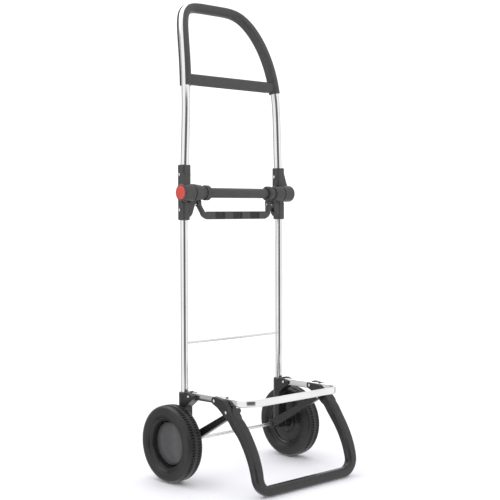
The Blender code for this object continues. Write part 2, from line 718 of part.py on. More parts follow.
def bail_section(x):
    """Bar outline: flat arms, and a bar whose front is scooped out for the fingers."""
    if abs(x) > 0.085:
        return rounded(0.0100, 0.0098, 0.0028, 2)
    scoop = 0.0007 * (1.0 + math.cos(2 * math.pi * x / 0.052))
    return [(a, b - (scoop if b > 0 else 0.0)) for a, b in rounded(0.0178, 0.0112, 0.0040, 2)]


bm = bmesh.new()
route = bail_path()
path = [at(*p) for p in route]
sweep(bm, path, Vector((0, -1, 0)), lambda k: bail_section(route[k][0]))
bail = finish("carry_bail", bm, CHARCOAL, origin=at(0.0, *BAIL_AXIS), parent=bail_pivot)
for label, side in SIDES:
    eye = mirrored((BAIL_TOP_X - 0.0048, BAIL_TOP_X + 0.0048), side)
    fuse(bail, lambda bm: pin(bm, *eye, *BAIL_AXIS, 0.0056, 20))
    fuse(bail, lambda bm: pin(bm, *eye, BAIL_AXIS[0], BAIL_AXIS[1] + BAIL_LOBE, 0.0055, 20))
    drill(bail, 0.0995, 0.115, side, *BAIL_AXIS, radius=PIN_RADIUS + RUN)

# ---------------------------------------------------------------- handle
handle_pivot = pivot("handle_axis", *FOLD)


def arch_point(t):
    """Middle line of the curved top; t runs from 0 (left spring) to 1 (right spring)."""
    angle = math.pi * (1.0 - t)
    c = math.cos(angle)
    s = max(0.0, math.sin(angle))
    x = math.copysign(abs(c) ** (2 / 5), c) * ARCH_HALF
    z = ARCH_SPRING_Z + ARCH_RISE * s ** (2 / 1.5)
    return x, z


def arch_sweep_back(z):
    """The arch leans backwards, more and more towards its top."""
    return -1.865 * max(0.0, z - 0.769) ** 2.44


def even_stations(points, step):
    """Points at even distances along a polyline."""
    distances = [0.0]
    for first, second in zip(points, points[1:]):
        distances.append(distances[-1] + (second - first).length)
    count = max(2, round(distances[-1] / step))
    made = []
    k = 0
    for index in range(count + 1):
        goal = distances[-1] * index / count
        while k < len(points) - 2 and distances[k + 1] < goal:
            k += 1
        part = (goal - distances[k]) / (distances[k + 1] - distances[k])
        made.append(points[k].lerp(points[k + 1], part))
    return made


def arch_curve():
    """The whole curved top as a fine polyline."""
    fine = []
    for k in range(401):
        t = k / 400
        t = 0.5 - 0.5 * math.cos(math.pi * t)
        x, z = arch_point(t)
        fine.append(at(x, arch_sweep_back(z), z))
    return fine


def arm_x(z):
    """The arms lean inwards as they rise to the arch."""
    return ARCH_HALF + ARM_LEAN * (ARCH_SPRING_Z - z)


FRONT = Vector((0, -1, 0))
CURVED = even_stations(arch_curve(), 0.0175)
first = next(k for k, p in enumerate(CURVED) if p.z > COVER_FOOT_Z)
low, high = CURVED[first - 1], CURVED[first]
start = low.lerp(high, (COVER_FOOT_Z - low.z) / (high.z - low.z))
COVERED = [start] + CURVED[first:-first] + [Vector((-start.x, start.y, start.z))]
arms_left = [at(-arm_x(z), arch_sweep_back(z), z) for z in (ARCH_FOOT_Z, 0.775, 0.80)]
arms_right = [Vector((-p.x, p.y, p.z)) for p in reversed(arms_left)]
UPPER_PATH = arms_left + CURVED + arms_right

bm = bmesh.new()
hollow_sweep(bm, UPPER_PATH, FRONT, ARCH_RADIUS, ARCH_WALL)
upper_tube = finish("upper_tube", bm, ALUMINIUM, origin=at(0.0, *FOLD), parent=handle_pivot)
for label, side in SIDES:
    drill(upper_tube, 0.125, 0.155, side, 0.0, UPPER_RIVET_Z)



def channel_section():
    """Channel round the tube, with a parallel-sided mouth towards the arch's outer side."""
    grip = arc((0.0, 0.0), ARCH_RADIUS + 2 * FIT, 126, -126, 7)
    return [(-0.016, grip[0][1])] + grip + [(-0.016, grip[-1][1])]


bm = bmesh.new()
sweep(bm, COVERED, FRONT, lambda k: arc((0.0, 0.0), COVER_RADIUS, 0, 330, 11))
cover = finish("handle_cover", bm, CHARCOAL, origin=at(0.0, *FOLD), parent=handle_pivot)


def crossbar_build(bm):
    """Flat bar between the arms, with a long hollow in its underside."""
    reach = 0.1255
    outline = rounded(CROSSBAR_DEPTH, CROSSBAR_HEIGHT, 0.006, 3)
    middle = arch_sweep_back(CROSSBAR_Z)
    rings = []
    for x in (-reach, reach):
        rings.append([at(x, middle + a, CROSSBAR_Z + b) for a, b in outline])
    loft(bm, rings)


def crossbar_hollow(bm):
    """Recess in the crossbar's underside."""
    middle = arch_sweep_back(CROSSBAR_Z)
    z0 = CROSSBAR_Z - CROSSBAR_HEIGHT / 2
    rings = []
    for z in (z0 - 0.01, z0 + 0.011):
        rings.append([at(x, middle + f, z) for x, f in ((-0.104, -0.0045), (0.104, -0.0045),
                                                       (0.104, 0.0045), (-0.104, 0.0045))])
    loft(bm, rings)


fuse(cover, crossbar_build)
cut(cover, crossbar_hollow)
start_back = COVERED[0] + (COVERED[0] - COVERED[1])
end_back = COVERED[-1] + (COVERED[-1] - COVERED[-2])
CHANNEL_PATH = [start_back] + COVERED + [end_back]
cut(cover, lambda bm: sweep(bm, CHANNEL_PATH, FRONT, lambda k: channel_section()))

UPPER_BOSS_X = (UPPER_COLUMN_X - UPPER_COLUMN_WIDTH / 2 - BOSS, UPPER_COLUMN_X + UPPER_COLUMN_WIDTH / 2 + BOSS)

for label, side in SIDES:
    bm = bmesh.new()
    column(bm, side * UPPER_COLUMN_X, UPPER_COLUMN_WIDTH, *UPPER_COLUMN)
    knuckle = finish("knuckle_upper_" + label, bm, CHARCOAL, origin=at(0.0, *FOLD), parent=handle_pivot)
    inner_x = mirrored((0.10, OUTER_BARREL[0]), side)
    cut(knuckle, lambda bm: pin(bm, *inner_x, *FOLD, BARREL_RADIUS + 0.0012, 32))

    def flare_build(bm):
        """Rib on the column's outer front corner, widening downwards to the barrel."""
        rings = []
        for z, x_out, front, back in ((0.668, 0.1530, 0.0080, 0.0010), (0.655, 0.1548, 0.0100, 0.0015),
                                      (0.634, 0.1598, 0.0130, 0.0025), (0.6182, 0.1635, 0.0150, 0.0035)):
            rings.append([at(side * 0.1400, front, z), at(side * x_out, front, z),
                          at(side * x_out, back, z), at(side * 0.1400, back, z)])
        loft(bm, rings)

    fuse(knuckle, flare_build)
    fuse(knuckle, lambda bm: barrel(bm, OUTER_BARREL, side, BARREL_RADIUS, BARREL_RADIUS - 0.0005, 0.0, 0.0035))
    boss_x = mirrored(UPPER_BOSS_X, side)
    fuse(knuckle, lambda bm: pin(bm, *boss_x, 0.0, UPPER_RIVET_Z, 0.0055))
    foot = at(side * arm_x(ARCH_FOOT_Z - FIT), 0.0, ARCH_FOOT_Z - FIT)
    head = at(side * arm_x(0.70), 0.0, 0.70)
    socket = [foot, head]
    cut(knuckle, lambda bm: sweep(bm, socket, FRONT,
                                  lambda k: arc((0.0, 0.0), ARCH_RADIUS + FIT, 0, 337.5, 15)))
    drill(knuckle, 0.12, 0.1595, side, *FOLD, radius=SHAFT_RADIUS + FIT)
    drill(knuckle, 0.12, 0.17, side, 0.0, UPPER_RIVET_Z)

BUTTON_RADIUS = 0.0149
BUTTON_POCKET = 0.1545
BUTTON_FACE = 0.1655
knuckle_left = bpy.data.objects["knuckle_upper_left"]
cut(knuckle_left, lambda bm: pin(bm, -0.17, -BUTTON_POCKET, *FOLD, BUTTON_RADIUS + 0.0004, 32))
cut(knuckle_left, lambda bm: pin(bm, -0.16, -0.1465, *FOLD, 0.0072, 20))

bm = bmesh.new()
turned(bm, [(0.1593, 0.0135), (0.1655, 0.0135), (0.1664, 0.0122), (0.1668, 0.0006)], at(0.0, *FOLD), "X", 32)
finish("fold_end_cap", bm, CHARCOAL, parent=handle_pivot)
knuckle_right = bpy.data.objects["knuckle_upper_right"]
cut(knuckle_right, lambda bm: pin(bm, 0.1590, 0.17, *FOLD, 0.0138, 32))

rivets("knuckle_upper_rivet", *UPPER_BOSS_X, 0.0, UPPER_RIVET_Z, parent=handle_pivot)

# Release button: a red cap with a stem, pushed out by a coil spring round the stem.
bm = bmesh.new()
face = [(-BUTTON_FACE - 0.0006, 0.0006), (-BUTTON_FACE - 0.0004, 0.008), (-BUTTON_FACE, 0.0138)]
face += [(-BUTTON_FACE + 0.0008, BUTTON_RADIUS), (-0.1600, BUTTON_RADIUS), (-0.1600, 0.0032), (-0.1515, 0.0032)]
turned(bm, face, at(0.0, *FOLD), "X", 32)
finish("release_button", bm, RED, origin=at(0.0, *FOLD), parent=handle_pivot)

bm = bmesh.new()
coil = []
TURNS = 3.5
SPRING_START = -0.1473
SPRING_END = -0.1550
for k in range(int(TURNS * 10) + 1):
    angle = 2 * math.pi * k / 10
    x = SPRING_START + (SPRING_END - SPRING_START) * k / (TURNS * 10)
    coil.append(at(x, FOLD[0] + 0.0052 * math.cos(angle), FOLD[1] + 0.0052 * math.sin(angle)))
sweep(bm, coil, Vector((1, 0, 0)), lambda k: arc((0.0, 0.0), 0.0005, 0, 270, 3))
finish("button_spring", bm, STEEL, parent=handle_pivot)
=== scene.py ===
"""Looks of the folding luggage cart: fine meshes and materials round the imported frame, camera and light."""
import json
import math

import bmesh
import bpy
from mathutils import Matrix, Vector


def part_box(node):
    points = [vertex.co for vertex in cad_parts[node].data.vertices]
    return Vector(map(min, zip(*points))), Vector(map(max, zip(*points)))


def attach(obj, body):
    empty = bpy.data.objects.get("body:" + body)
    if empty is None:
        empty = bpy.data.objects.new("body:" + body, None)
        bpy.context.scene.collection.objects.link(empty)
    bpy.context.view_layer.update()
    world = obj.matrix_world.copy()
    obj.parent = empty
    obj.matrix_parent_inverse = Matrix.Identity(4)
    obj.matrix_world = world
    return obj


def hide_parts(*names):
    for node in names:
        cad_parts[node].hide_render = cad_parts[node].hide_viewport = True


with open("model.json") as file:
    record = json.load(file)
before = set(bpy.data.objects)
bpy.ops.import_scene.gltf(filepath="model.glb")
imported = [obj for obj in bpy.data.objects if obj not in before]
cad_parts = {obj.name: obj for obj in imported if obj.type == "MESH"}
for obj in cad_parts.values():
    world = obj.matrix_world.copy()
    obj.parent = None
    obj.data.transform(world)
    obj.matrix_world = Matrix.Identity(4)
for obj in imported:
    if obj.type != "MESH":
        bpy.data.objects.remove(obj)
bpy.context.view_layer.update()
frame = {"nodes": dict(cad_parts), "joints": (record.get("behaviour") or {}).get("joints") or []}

# ---------------------------------------------------------------- places taken from the frame
JOINTS = {joint["name"]: joint for joint in frame["joints"]}


def joint_place(name):
    """Point on a joint's axis at rest."""
    return Vector(JOINTS[name]["pos_m"])


AXLE_POINT = joint_place("wheel_spin_left")
AXLE_Y = AXLE_POINT.y


def side_view(point):
    """(forward of the axle, z) of a point: the cart's side view."""
    return AXLE_Y - point.y, point.z


def at(x, forward, z):
    """World point from a lateral place and a side view pair."""
    return Vector((x, AXLE_Y - forward, z))


def middle(node):
    low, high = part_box(node)
    return (low + high) / 2


def extent(node):
    low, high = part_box(node)
    return high - low


AXLE = side_view(AXLE_POINT)
FOLD = side_view(joint_place("handle_fold"))
BAIL_AXIS = side_view(joint_place("bail_swing"))
PLATFORM_AXIS = side_view(joint_place("platform_fold"))
STAND_AXIS = side_view(joint_place("stand_swing"))
STRUT_PIN = side_view(middle("strut_end_stud_right"))
SIDES = (("left", -1), ("right", 1))

TUBE_X = middle("lower_tube_right").x
TUBE_RADIUS = extent("lower_tube_right").x / 2
TUBE_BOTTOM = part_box("lower_tube_right")[0].z
TUBE_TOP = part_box("lower_tube_right")[1].z
WALL = 0.0012              # of both aluminium tubes
ROD = side_view(middle("cross_rod"))
ROD_HALF = extent("cross_rod").x / 2
ROD_RADIUS = extent("cross_rod").z / 2
WHEEL_X = middle("tyre_right").x
WHEEL_HALF = extent("tyre_right").x / 2
WHEEL_RADIUS = extent("tyre_right").z / 2
CHEEK_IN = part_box("axle_bracket_right")[0].x
CHEEK_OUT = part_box("axle_bracket_right")[1].x
GAP = 0.0003               # between pieces that fit together

# ---------------------------------------------------------------- materials


class Look:
    """A Principled material whose colour, roughness and bump come from procedural noise."""

    def __init__(self, name, slot, roughness, metallic=0.0):
        self.slot = slot
        self.material = bpy.data.materials.new(name)
        self.material.use_nodes = True
        self.nodes = self.material.node_tree.nodes
        self.links = self.material.node_tree.links
        self.shader = self.nodes["Principled BSDF"]
        self.shader.inputs["Metallic"].default_value = metallic
        self.shader.inputs["Roughness"].default_value = roughness
        self.place = self.nodes.new("ShaderNodeTexCoord").outputs["Object"]

    def stretched(self, scale):
        """Object coordinates scaled along each axis."""
        mapping = self.nodes.new("ShaderNodeMapping")
        mapping.inputs["Scale"].default_value = scale
        self.links.new(self.place, mapping.inputs["Vector"])
        return mapping.outputs["Vector"]

    def noise(self, scale, detail=3.0, rough=0.55, source=None):
        texture = self.nodes.new("ShaderNodeTexNoise")
        texture.inputs["Scale"].default_value = scale
        texture.inputs["Detail"].default_value = detail
        texture.inputs["Roughness"].default_value = rough
        self.links.new(source or self.place, texture.inputs["Vector"])
        return texture.outputs["Fac"]

    def cells(self, scale, source=None):
        texture = self.nodes.new("ShaderNodeTexVoronoi")
        texture.inputs["Scale"].default_value = scale
        self.links.new(source or self.place, texture.inputs["Vector"])
        return texture.outputs["Distance"]

    def combined(self, operation, first, second=0.0):
        """Two values put together by a math operation; second is a socket or a number."""
        node = self.nodes.new("ShaderNodeMath")
        node.operation = operation
        self.links.new(first, node.inputs[0])
        if hasattr(second, "is_linked"):
            self.links.new(second, node.inputs[1])
        else:
            node.inputs[1].default_value = second
        return node.outputs[0]

    def spread(self, factor, low, high, start=0.3, end=0.7):
        """Map a factor to numbers between low and high."""
        node = self.nodes.new("ShaderNodeMapRange")
        node.inputs["From Min"].default_value = start
        node.inputs["From Max"].default_value = end
        node.inputs["To Min"].default_value = low
        node.inputs["To Max"].default_value = high
        self.links.new(factor, node.inputs["Value"])
        return node.outputs["Result"]

    def colour(self, factor, low, high):
        """Base colour blended between two colours by a factor."""
        ramp = self.nodes.new("ShaderNodeValToRGB")
        ramp.color_ramp.elements[0].position = 0.3
        ramp.color_ramp.elements[0].color = (*low, 1.0)
        ramp.color_ramp.elements[1].position = 0.7
        ramp.color_ramp.elements[1].color = (*high, 1.0)
        self.links.new(factor, ramp.inputs["Fac"])
        self.links.new(ramp.outputs["Color"], self.shader.inputs["Base Color"])

    def roughness(self, factor, low, high):
        self.links.new(self.spread(factor, low, high), self.shader.inputs["Roughness"])

    def bump(self, *heights):
        """Stack of (factor, depth in metres) bumps."""
        normal = None
        for factor, depth in heights:
            node = self.nodes.new("ShaderNodeBump")
            node.inputs["Strength"].default_value = 1.0
            node.inputs["Distance"].default_value = depth
            self.links.new(factor, node.inputs["Height"])
            if normal:
                self.links.new(normal, node.inputs["Normal"])
            normal = node.outputs["Normal"]
        self.links.new(normal, self.shader.inputs["Normal"])


def aluminium(name, stretch):
    """Bright drawn aluminium with faint lines along the stretch's short axis."""
    look = Look(name, "polished_aluminium", 0.15, 1.0)
    lines = look.noise(1.0, 4.0, 0.6, look.stretched(stretch))
    cloud = look.noise(22.0, 2.0)
    look.colour(cloud, (0.86, 0.86, 0.87), (0.93, 0.93, 0.935))
    look.roughness(lines, 0.10, 0.19)
    look.bump((lines, 0.000012))
    return look


def moulded_plastic(name, slot, low, high, rough_low, rough_high, grain_depth):
    """Satin injection-moulded plastic: fine spark-eroded grain, slight mottling and flow marks."""
    look = Look(name, slot, rough_low)
    mottle = look.noise(95.0, 4.0, 0.6)
    grain = look.cells(1500.0)
    flow = look.noise(28.0, 2.0)
    look.colour(mottle, low, high)
    look.roughness(mottle, rough_low, rough_high)
    look.bump((flow, 0.00012), (grain, grain_depth))
    return look


def foam():
    """Closed-cell foam tyre: matt, finely pored, a little dusty."""
    look = Look("foam_tyre", "foam_tyre", 0.7)
    pores = look.cells(1100.0)
    dust = look.noise(60.0, 5.0, 0.65)
    look.colour(dust, (0.010, 0.010, 0.011), (0.018, 0.018, 0.019))
    look.roughness(dust, 0.36, 0.48)
    look.bump((dust, 0.0002), (pores, 0.00005))
    return look


def zinc():
    """Bright zinc-plated steel."""
    look = Look("zinc_steel", "zinc_steel", 0.25, 1.0)
    crystals = look.noise(420.0, 3.0)
    look.colour(crystals, (0.70, 0.70, 0.71), (0.84, 0.84, 0.85))
    look.roughness(crystals, 0.16, 0.30)
    look.bump((crystals, 0.00001))
    return look


def smooth_plastic(name, slot, low, high, rough_low, rough_high):
    """Smooth glossy plastic with a trace of orange peel."""
    look = Look(name, slot, rough_low)
    peel = look.noise(70.0, 3.0)
    fine = look.noise(700.0, 2.0)
    look.colour(peel, low, high)
    look.roughness(fine, rough_low, rough_high)
    look.bump((peel, 0.00006), (fine, 0.000006))
    return look


TUBE_METAL = aluminium("drawn_aluminium_upright", (1400.0, 1400.0, 9.0))
BAR_METAL = aluminium("drawn_aluminium_bar", (60.0, 60.0, 1400.0))
STEEL = zinc()
CHARCOAL = moulded_plastic("charcoal_plastic", "charcoal_plastic",
                           (0.038, 0.038, 0.039), (0.048, 0.048, 0.049), 0.32, 0.40, 0.00003)
BLACK = moulded_plastic("black_plastic", "black_plastic",
                        (0.015, 0.015, 0.016), (0.021, 0.021, 0.022), 0.21, 0.28, 0.00002)
FOAM = foam()
CAP_GREY = smooth_plastic("hub_cap_grey", "hub_cap_grey",
                          (0.060, 0.060, 0.062), (0.072, 0.072, 0.074), 0.14, 0.20)
RED = smooth_plastic("red_button", "red_button", (0.52, 0.050, 0.038), (0.60, 0.064, 0.048), 0.26, 0.34)
NYLON = smooth_plastic("white_nylon", "white_nylon", (0.62, 0.61, 0.57), (0.72, 0.71, 0.67), 0.40, 0.50)

# ---------------------------------------------------------------- mesh helpers


def loft(bm, rings, closed=False):
    """Skin a list of equal rings; closed joins the last ring to the first."""
    loops = [[bm.verts.new(point) for point in ring] for ring in rings]
    count = len(loops[0])
    pairs = list(zip(loops, loops[1:]))
    if closed:
        pairs.append((loops[-1], loops[0]))
    for first, second in pairs:
        for k in range(count):
            n = (k + 1) % count
            bm.faces.new((first[k], first[n], second[n], second[k]))
    if not closed:
        bm.faces.new(list(reversed(loops[0])))
        bm.faces.new(loops[-1])


def circle(centre, radius, first, second, sides):
    """Points of a circle in the plane of two unit vectors."""
    points = []
    for k in range(sides):
        angle = 2 * math.pi * k / sides
        points.append(centre + first * (radius * math.cos(angle)) + second * (radius * math.sin(angle)))
    return points


AXES = {
    "X": (Vector((1, 0, 0)), Vector((0, 1, 0)), Vector((0, 0, 1))),
    "Z": (Vector((0, 0, 1)), Vector((1, 0, 0)), Vector((0, 1, 0))),
}


def turned(bm, profile, centre, axis="X", sides=64, closed=False):
    """Revolve (distance along the axis, radius) pairs about an axis through centre."""
    along, first, second = AXES[axis]
    rings = [circle(centre + along * step, radius, first, second, sides) for step, radius in profile]
    loft(bm, rings, closed)


def pin(bm, x0, x1, forward, z, radius, sides=48):
    turned(bm, [(x0, radius), (x1, radius)], at(0.0, forward, z), "X", sides)


def arc(centre, radius, start, end, steps):
    """Points of a flat arc, in degrees, end points included."""
    points = []
    for k in range(steps + 1):
        angle = math.radians(start + (end - start) * k / steps)
        points.append((centre[0] + radius * math.cos(angle), centre[1] + radius * math.sin(angle)))
    return points


def rounded(width, height, corner, steps=7):
    """Rounded rectangle about (0, 0)."""
    a = width / 2 - corner
    b = height / 2 - corner
    points = []
    for sign_x, sign_y, start in ((1, 1, 0), (-1, 1, 90), (-1, -1, 180), (1, -1, 270)):
        points += arc((sign_x * a, sign_y * b), corner, start, start + 90, steps)
    return points


def soften(points, radius, steps=4, closed=True):
    """Round the corners of an outline or profile."""
    count = len(points)
    made = []
    for k in range(count):
        here = Vector(points[k])
        if not closed and k in (0, count - 1):
            made.append(tuple(here))
            continue
        back = Vector(points[k - 1]) - here
        ahead = Vector(points[(k + 1) % count]) - here
        reach = min(radius, 0.45 * back.length, 0.45 * ahead.length)
        start = here + back.normalized() * reach
        end = here + ahead.normalized() * reach
        for n in range(steps + 1):
            t = n / steps
            made.append(tuple(start * (1 - t) ** 2 + here * 2 * t * (1 - t) + end * t * t))
    return made


def prism(bm, outline, x0, x1):
    """Extrude a (forward, z) outline along X."""
    loft(bm, [[at(x, f, z) for f, z in outline] for x in (x0, x1)])


def frames(path, reference):
    """Point, side and upper axis at each station of a path."""
    made = []
    for k, point in enumerate(path):
        before = path[max(k - 1, 0)]
        after = path[min(k + 1, len(path) - 1)]
        tangent = (after - before).normalized()
        upper = (reference - tangent * reference.dot(tangent)).normalized()
        made.append((point, tangent.cross(upper), upper))
    return made


def sweep(bm, path, reference, section):
    """Solid along a path; section(k) gives the (side, upper) outline at station k."""
    rings = []
    for k, (point, side, upper) in enumerate(frames(path, reference)):
        rings.append([point + side * a + upper * b for a, b in section(k)])
    loft(bm, rings)


def hollow_sweep(bm, path, reference, radius, wall, sides):
    """Open-ended round tube along a path."""
    outer = []
    inner = []
    for point, side, upper in frames(path, reference):
        outer.append(circle(point, radius, side, upper, sides))
        inner.append(circle(point, radius - wall, side, upper, sides))
    loft(bm, outer + inner[::-1], closed=True)


def even_stations(points, step):
    """Points at even distances along a polyline."""
    distances = [0.0]
    for first, second in zip(points, points[1:]):
        distances.append(distances[-1] + (second - first).length)
    count = max(2, round(distances[-1] / step))
    made = []
    k = 0
    for index in range(count + 1):
        goal = distances[-1] * index / count
        while k < len(points) - 2 and distances[k + 1] < goal:
            k += 1
        part = (goal - distances[k]) / max(1e-9, distances[k + 1] - distances[k])
        made.append(points[k].lerp(points[k + 1], part))
    return made


def mirrored(interval, side):
    """Lateral interval on one side of the cart, lowest first."""
    return tuple(sorted((side * interval[0], side * interval[1])))


def mesh_object(name, bm, look):
    bmesh.ops.remove_doubles(bm, verts=bm.verts, dist=1e-7)
    bmesh.ops.recalc_face_normals(bm, faces=bm.faces)
    mesh = bpy.data.meshes.new(name)
    bm.to_mesh(mesh)
    bm.free()
    mesh.materials.append(look.material)
    made = bpy.data.objects.new(name, mesh)
    bpy.context.scene.collection.objects.link(made)
    return made


def settle(made, body, nodes, sharp):
    """Shade a piece and hang it on its body in place of its CAD nodes."""
    made.data.shade_smooth()
    made.data.set_sharp_from_angle(angle=math.radians(sharp))
    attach(made, body)
    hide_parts(*nodes)
    return made


def piece(name, bm, look, body, nodes, sharp=38.0):
    """A finished piece straight from a bmesh."""
    return settle(mesh_object(name, bm, look), body, nodes, sharp)


def evaluated(made):
    """Replace an object's mesh by what its modifiers make of it."""
    bpy.context.view_layer.update()
    graph = bpy.context.evaluated_depsgraph_get()
    result = bpy.data.meshes.new_from_object(made.evaluated_get(graph))
    made.modifiers.clear()
    spent = made.data
    made.data = result
    bpy.data.meshes.remove(spent)


def moulding(name, build, cuts, voxel, look, body, nodes, rounds=6, keep=0.45):
    """A moulded part: overlapping solids, cut, fused by a voxel remesh and softened along every edge."""
    bm = bmesh.new()
    build(bm)
    made = mesh_object(name, bm, look)
    bm = bmesh.new()
    cuts(bm)
    tool = mesh_object("tool", bm, look)
    step = made.modifiers.new("cut", "BOOLEAN")
    step.operation = "DIFFERENCE"
    step.solver = "EXACT"
    step.use_self = True
    step.object = tool
    fuse = made.modifiers.new("fuse", "REMESH")
    fuse.mode = "VOXEL"
    fuse.voxel_size = voxel
    relax = made.modifiers.new("relax", "SMOOTH")
    relax.factor = 0.5
    relax.iterations = rounds
    thin = made.modifiers.new("thin", "DECIMATE")
    thin.ratio = keep
    evaluated(made)
    bpy.data.objects.remove(tool, do_unlink=True)
    made.data.materials.clear()
    made.data.materials.append(look.material)
    return settle(made, body, nodes, sharp=180.0)


# ---------------------------------------------------------------- lower frame
for label, side in SIDES:
    bm = bmesh.new()
    wall_profile = [(TUBE_BOTTOM, TUBE_RADIUS), (TUBE_TOP, TUBE_RADIUS)]
    wall_profile += [(TUBE_TOP, TUBE_RADIUS - WALL), (TUBE_BOTTOM, TUBE_RADIUS - WALL)]
    turned(bm, soften(wall_profile, 0.0004, 3), at(side * TUBE_X, 0.0, 0.0), "Z", 96, closed=True)
    piece("lower_tube_fine_" + label, bm, TUBE_METAL, "frame", ["lower_tube_" + label])

bm = bmesh.new()
pin(bm, -ROD_HALF, ROD_HALF, *ROD, ROD_RADIUS, 40)
piece("cross_rod_fine", bm, STEEL, "frame", ["cross_rod"])


def groove(bm, x_face, direction, forward, z, inner=0.0033, outer=0.0048, depth=0.0014):
    """Ring-shaped recess round a rivet head, cut into a face at x_face that looks along direction."""
    x0, x1 = sorted((x_face + direction * 0.002, x_face - direction * depth))
    ring = [(x0, inner), (x0, outer), (x1, outer), (x1, inner)]
    turned(bm, ring, at(0.0, forward, z), "X", 40, closed=True)


def rivet(bm, inner, outer, side, forward, z, inner_head=True, outer_head=True):
    """Shank along X with smooth domed heads."""
    shank = 0.0026
    head = 0.0032
    dome = [(0.0016 * math.sin(a), head * math.cos(a)) for a in [math.pi / 2 * k / 9 for k in range(9)]]
    dome.append((0.00161, 0.0002))
    profile = [(inner - GAP, shank), (outer + GAP, shank)]
    if inner_head:
        profile = [(inner - GAP - rise, radius) for rise, radius in reversed(dome)] + profile
    if outer_head:
        profile += [(outer + GAP + rise, radius) for rise, radius in dome]
    turned(bm, [(side * x, radius) for x, radius in profile], at(0.0, forward, z), "X", 36)


def rivets(node, inner, outer, place, body, inner_head=True, outer_head=True):
    for label, side in SIDES:
        bm = bmesh.new()
        rivet(bm, inner, outer, side, *place, inner_head, outer_head)
        piece(node + "_fine_" + label, bm, STEEL, body, [node + "_" + label])


rivets("platform_pivot_rivet", CHEEK_IN, CHEEK_OUT, PLATFORM_AXIS, "frame")
rivets("stand_pivot_rivet", CHEEK_IN, CHEEK_OUT, STAND_AXIS, "platform")
rivets("strut_upper_rivet", CHEEK_IN + 2 * GAP, CHEEK_OUT, STRUT_PIN, "stand", inner_head=False)

BAR_WIDTH = 0.008
BAR_HEIGHT = 0.015
BAR_X = middle("platform_stud_right").x
SLOT_IN = BAR_X - BAR_WIDTH / 2 - 0.0005
SLOT_OUT = BAR_X + BAR_WIDTH / 2 + 0.0005
SLOT_ROOM = 0.0012          # between the bar's edges and the slots it turns in

COLUMN = 0.0222
COLUMN_CORNER = 0.0075
BRACKET = (0.0800, 0.1890)


def column(bm, place, width, z0, z1):
    """Upright column with round corners about a lateral place."""
    rings = []
    for z, inset in ((z0, 0.0016), (z0 + 0.0007, 0.0005), (z0 + 0.002, 0.0), (z1 - 0.002, 0.0),
                     (z1 - 0.0007, 0.0005), (z1, 0.0016)):
        outline = rounded(width - 2 * inset, COLUMN - 2 * inset, COLUMN_CORNER - inset * 0.5, 8)
        rings.append([at(place + a, b, z) for a, b in outline])
    loft(bm, rings)


def bracket_outline():
    """Side view of the clevis and of the foot round the axle."""
    outline = [(-0.0020, 0.1882), (-0.0020, 0.1000), (-0.0106, 0.0840)]
    outline += arc(AXLE, 0.0118, 207, 333, 24)
    outline += [(0.0114, 0.0860), (0.0116, 0.1570)]
    outline += arc(PLATFORM_AXIS, 0.0126, -28, 10, 12)
    return outline + [(0.0310, 0.1884), (0.0222, 0.1918), (0.0135, 0.1915), (0.0105, 0.1882)]


def bracket_build(bm, side):
    """Rounded column with a clevis in front and a foot round the axle."""
    column(bm, side * TUBE_X, COLUMN, *BRACKET)
    prism(bm, bracket_outline(), *mirrored((CHEEK_IN, CHEEK_OUT), side))


def bracket_cuts(bm, side):
    slot_x = mirrored((SLOT_IN, SLOT_OUT), side)
    floor_z = PLATFORM_AXIS[1] - BAR_HEIGHT / 2 - SLOT_ROOM
    wall_f = PLATFORM_AXIS[0] - BAR_HEIGHT / 2 - SLOT_ROOM
    slot = arc(PLATFORM_AXIS, BAR_HEIGHT / 2 + SLOT_ROOM, 180, 270, 12)
    slot += [(0.06, floor_z), (0.06, 0.22), (wall_f, 0.22)]
    prism(bm, slot, *slot_x)
    bore = [(TUBE_BOTTOM - 0.0005, TUBE_RADIUS + GAP), (0.21, TUBE_RADIUS + GAP)]
    turned(bm, bore, at(side * TUBE_X, 0.0, 0.0), "Z", 64)
    inner_x = mirrored((CHEEK_IN - 0.001, SLOT_IN + 0.0005), side)
    prism(bm, [(0.0145, 0.1903), (0.06, 0.1903), (0.06, 0.22), (0.0145, 0.22)], *inner_x)
    groove(bm, side * CHEEK_OUT, side, *PLATFORM_AXIS)
    groove(bm, side * CHEEK_IN, -side, *PLATFORM_AXIS)


for label, side in SIDES:
    moulding("axle_bracket_fine_" + label, lambda bm: bracket_build(bm, side),
             lambda bm: bracket_cuts(bm, side), 0.0008, BLACK, "frame", ["axle_bracket_" + label])

# ---------------------------------------------------------------- wheels
TREAD_BLOCKS = 84
TYRE_SEAT = 0.0532


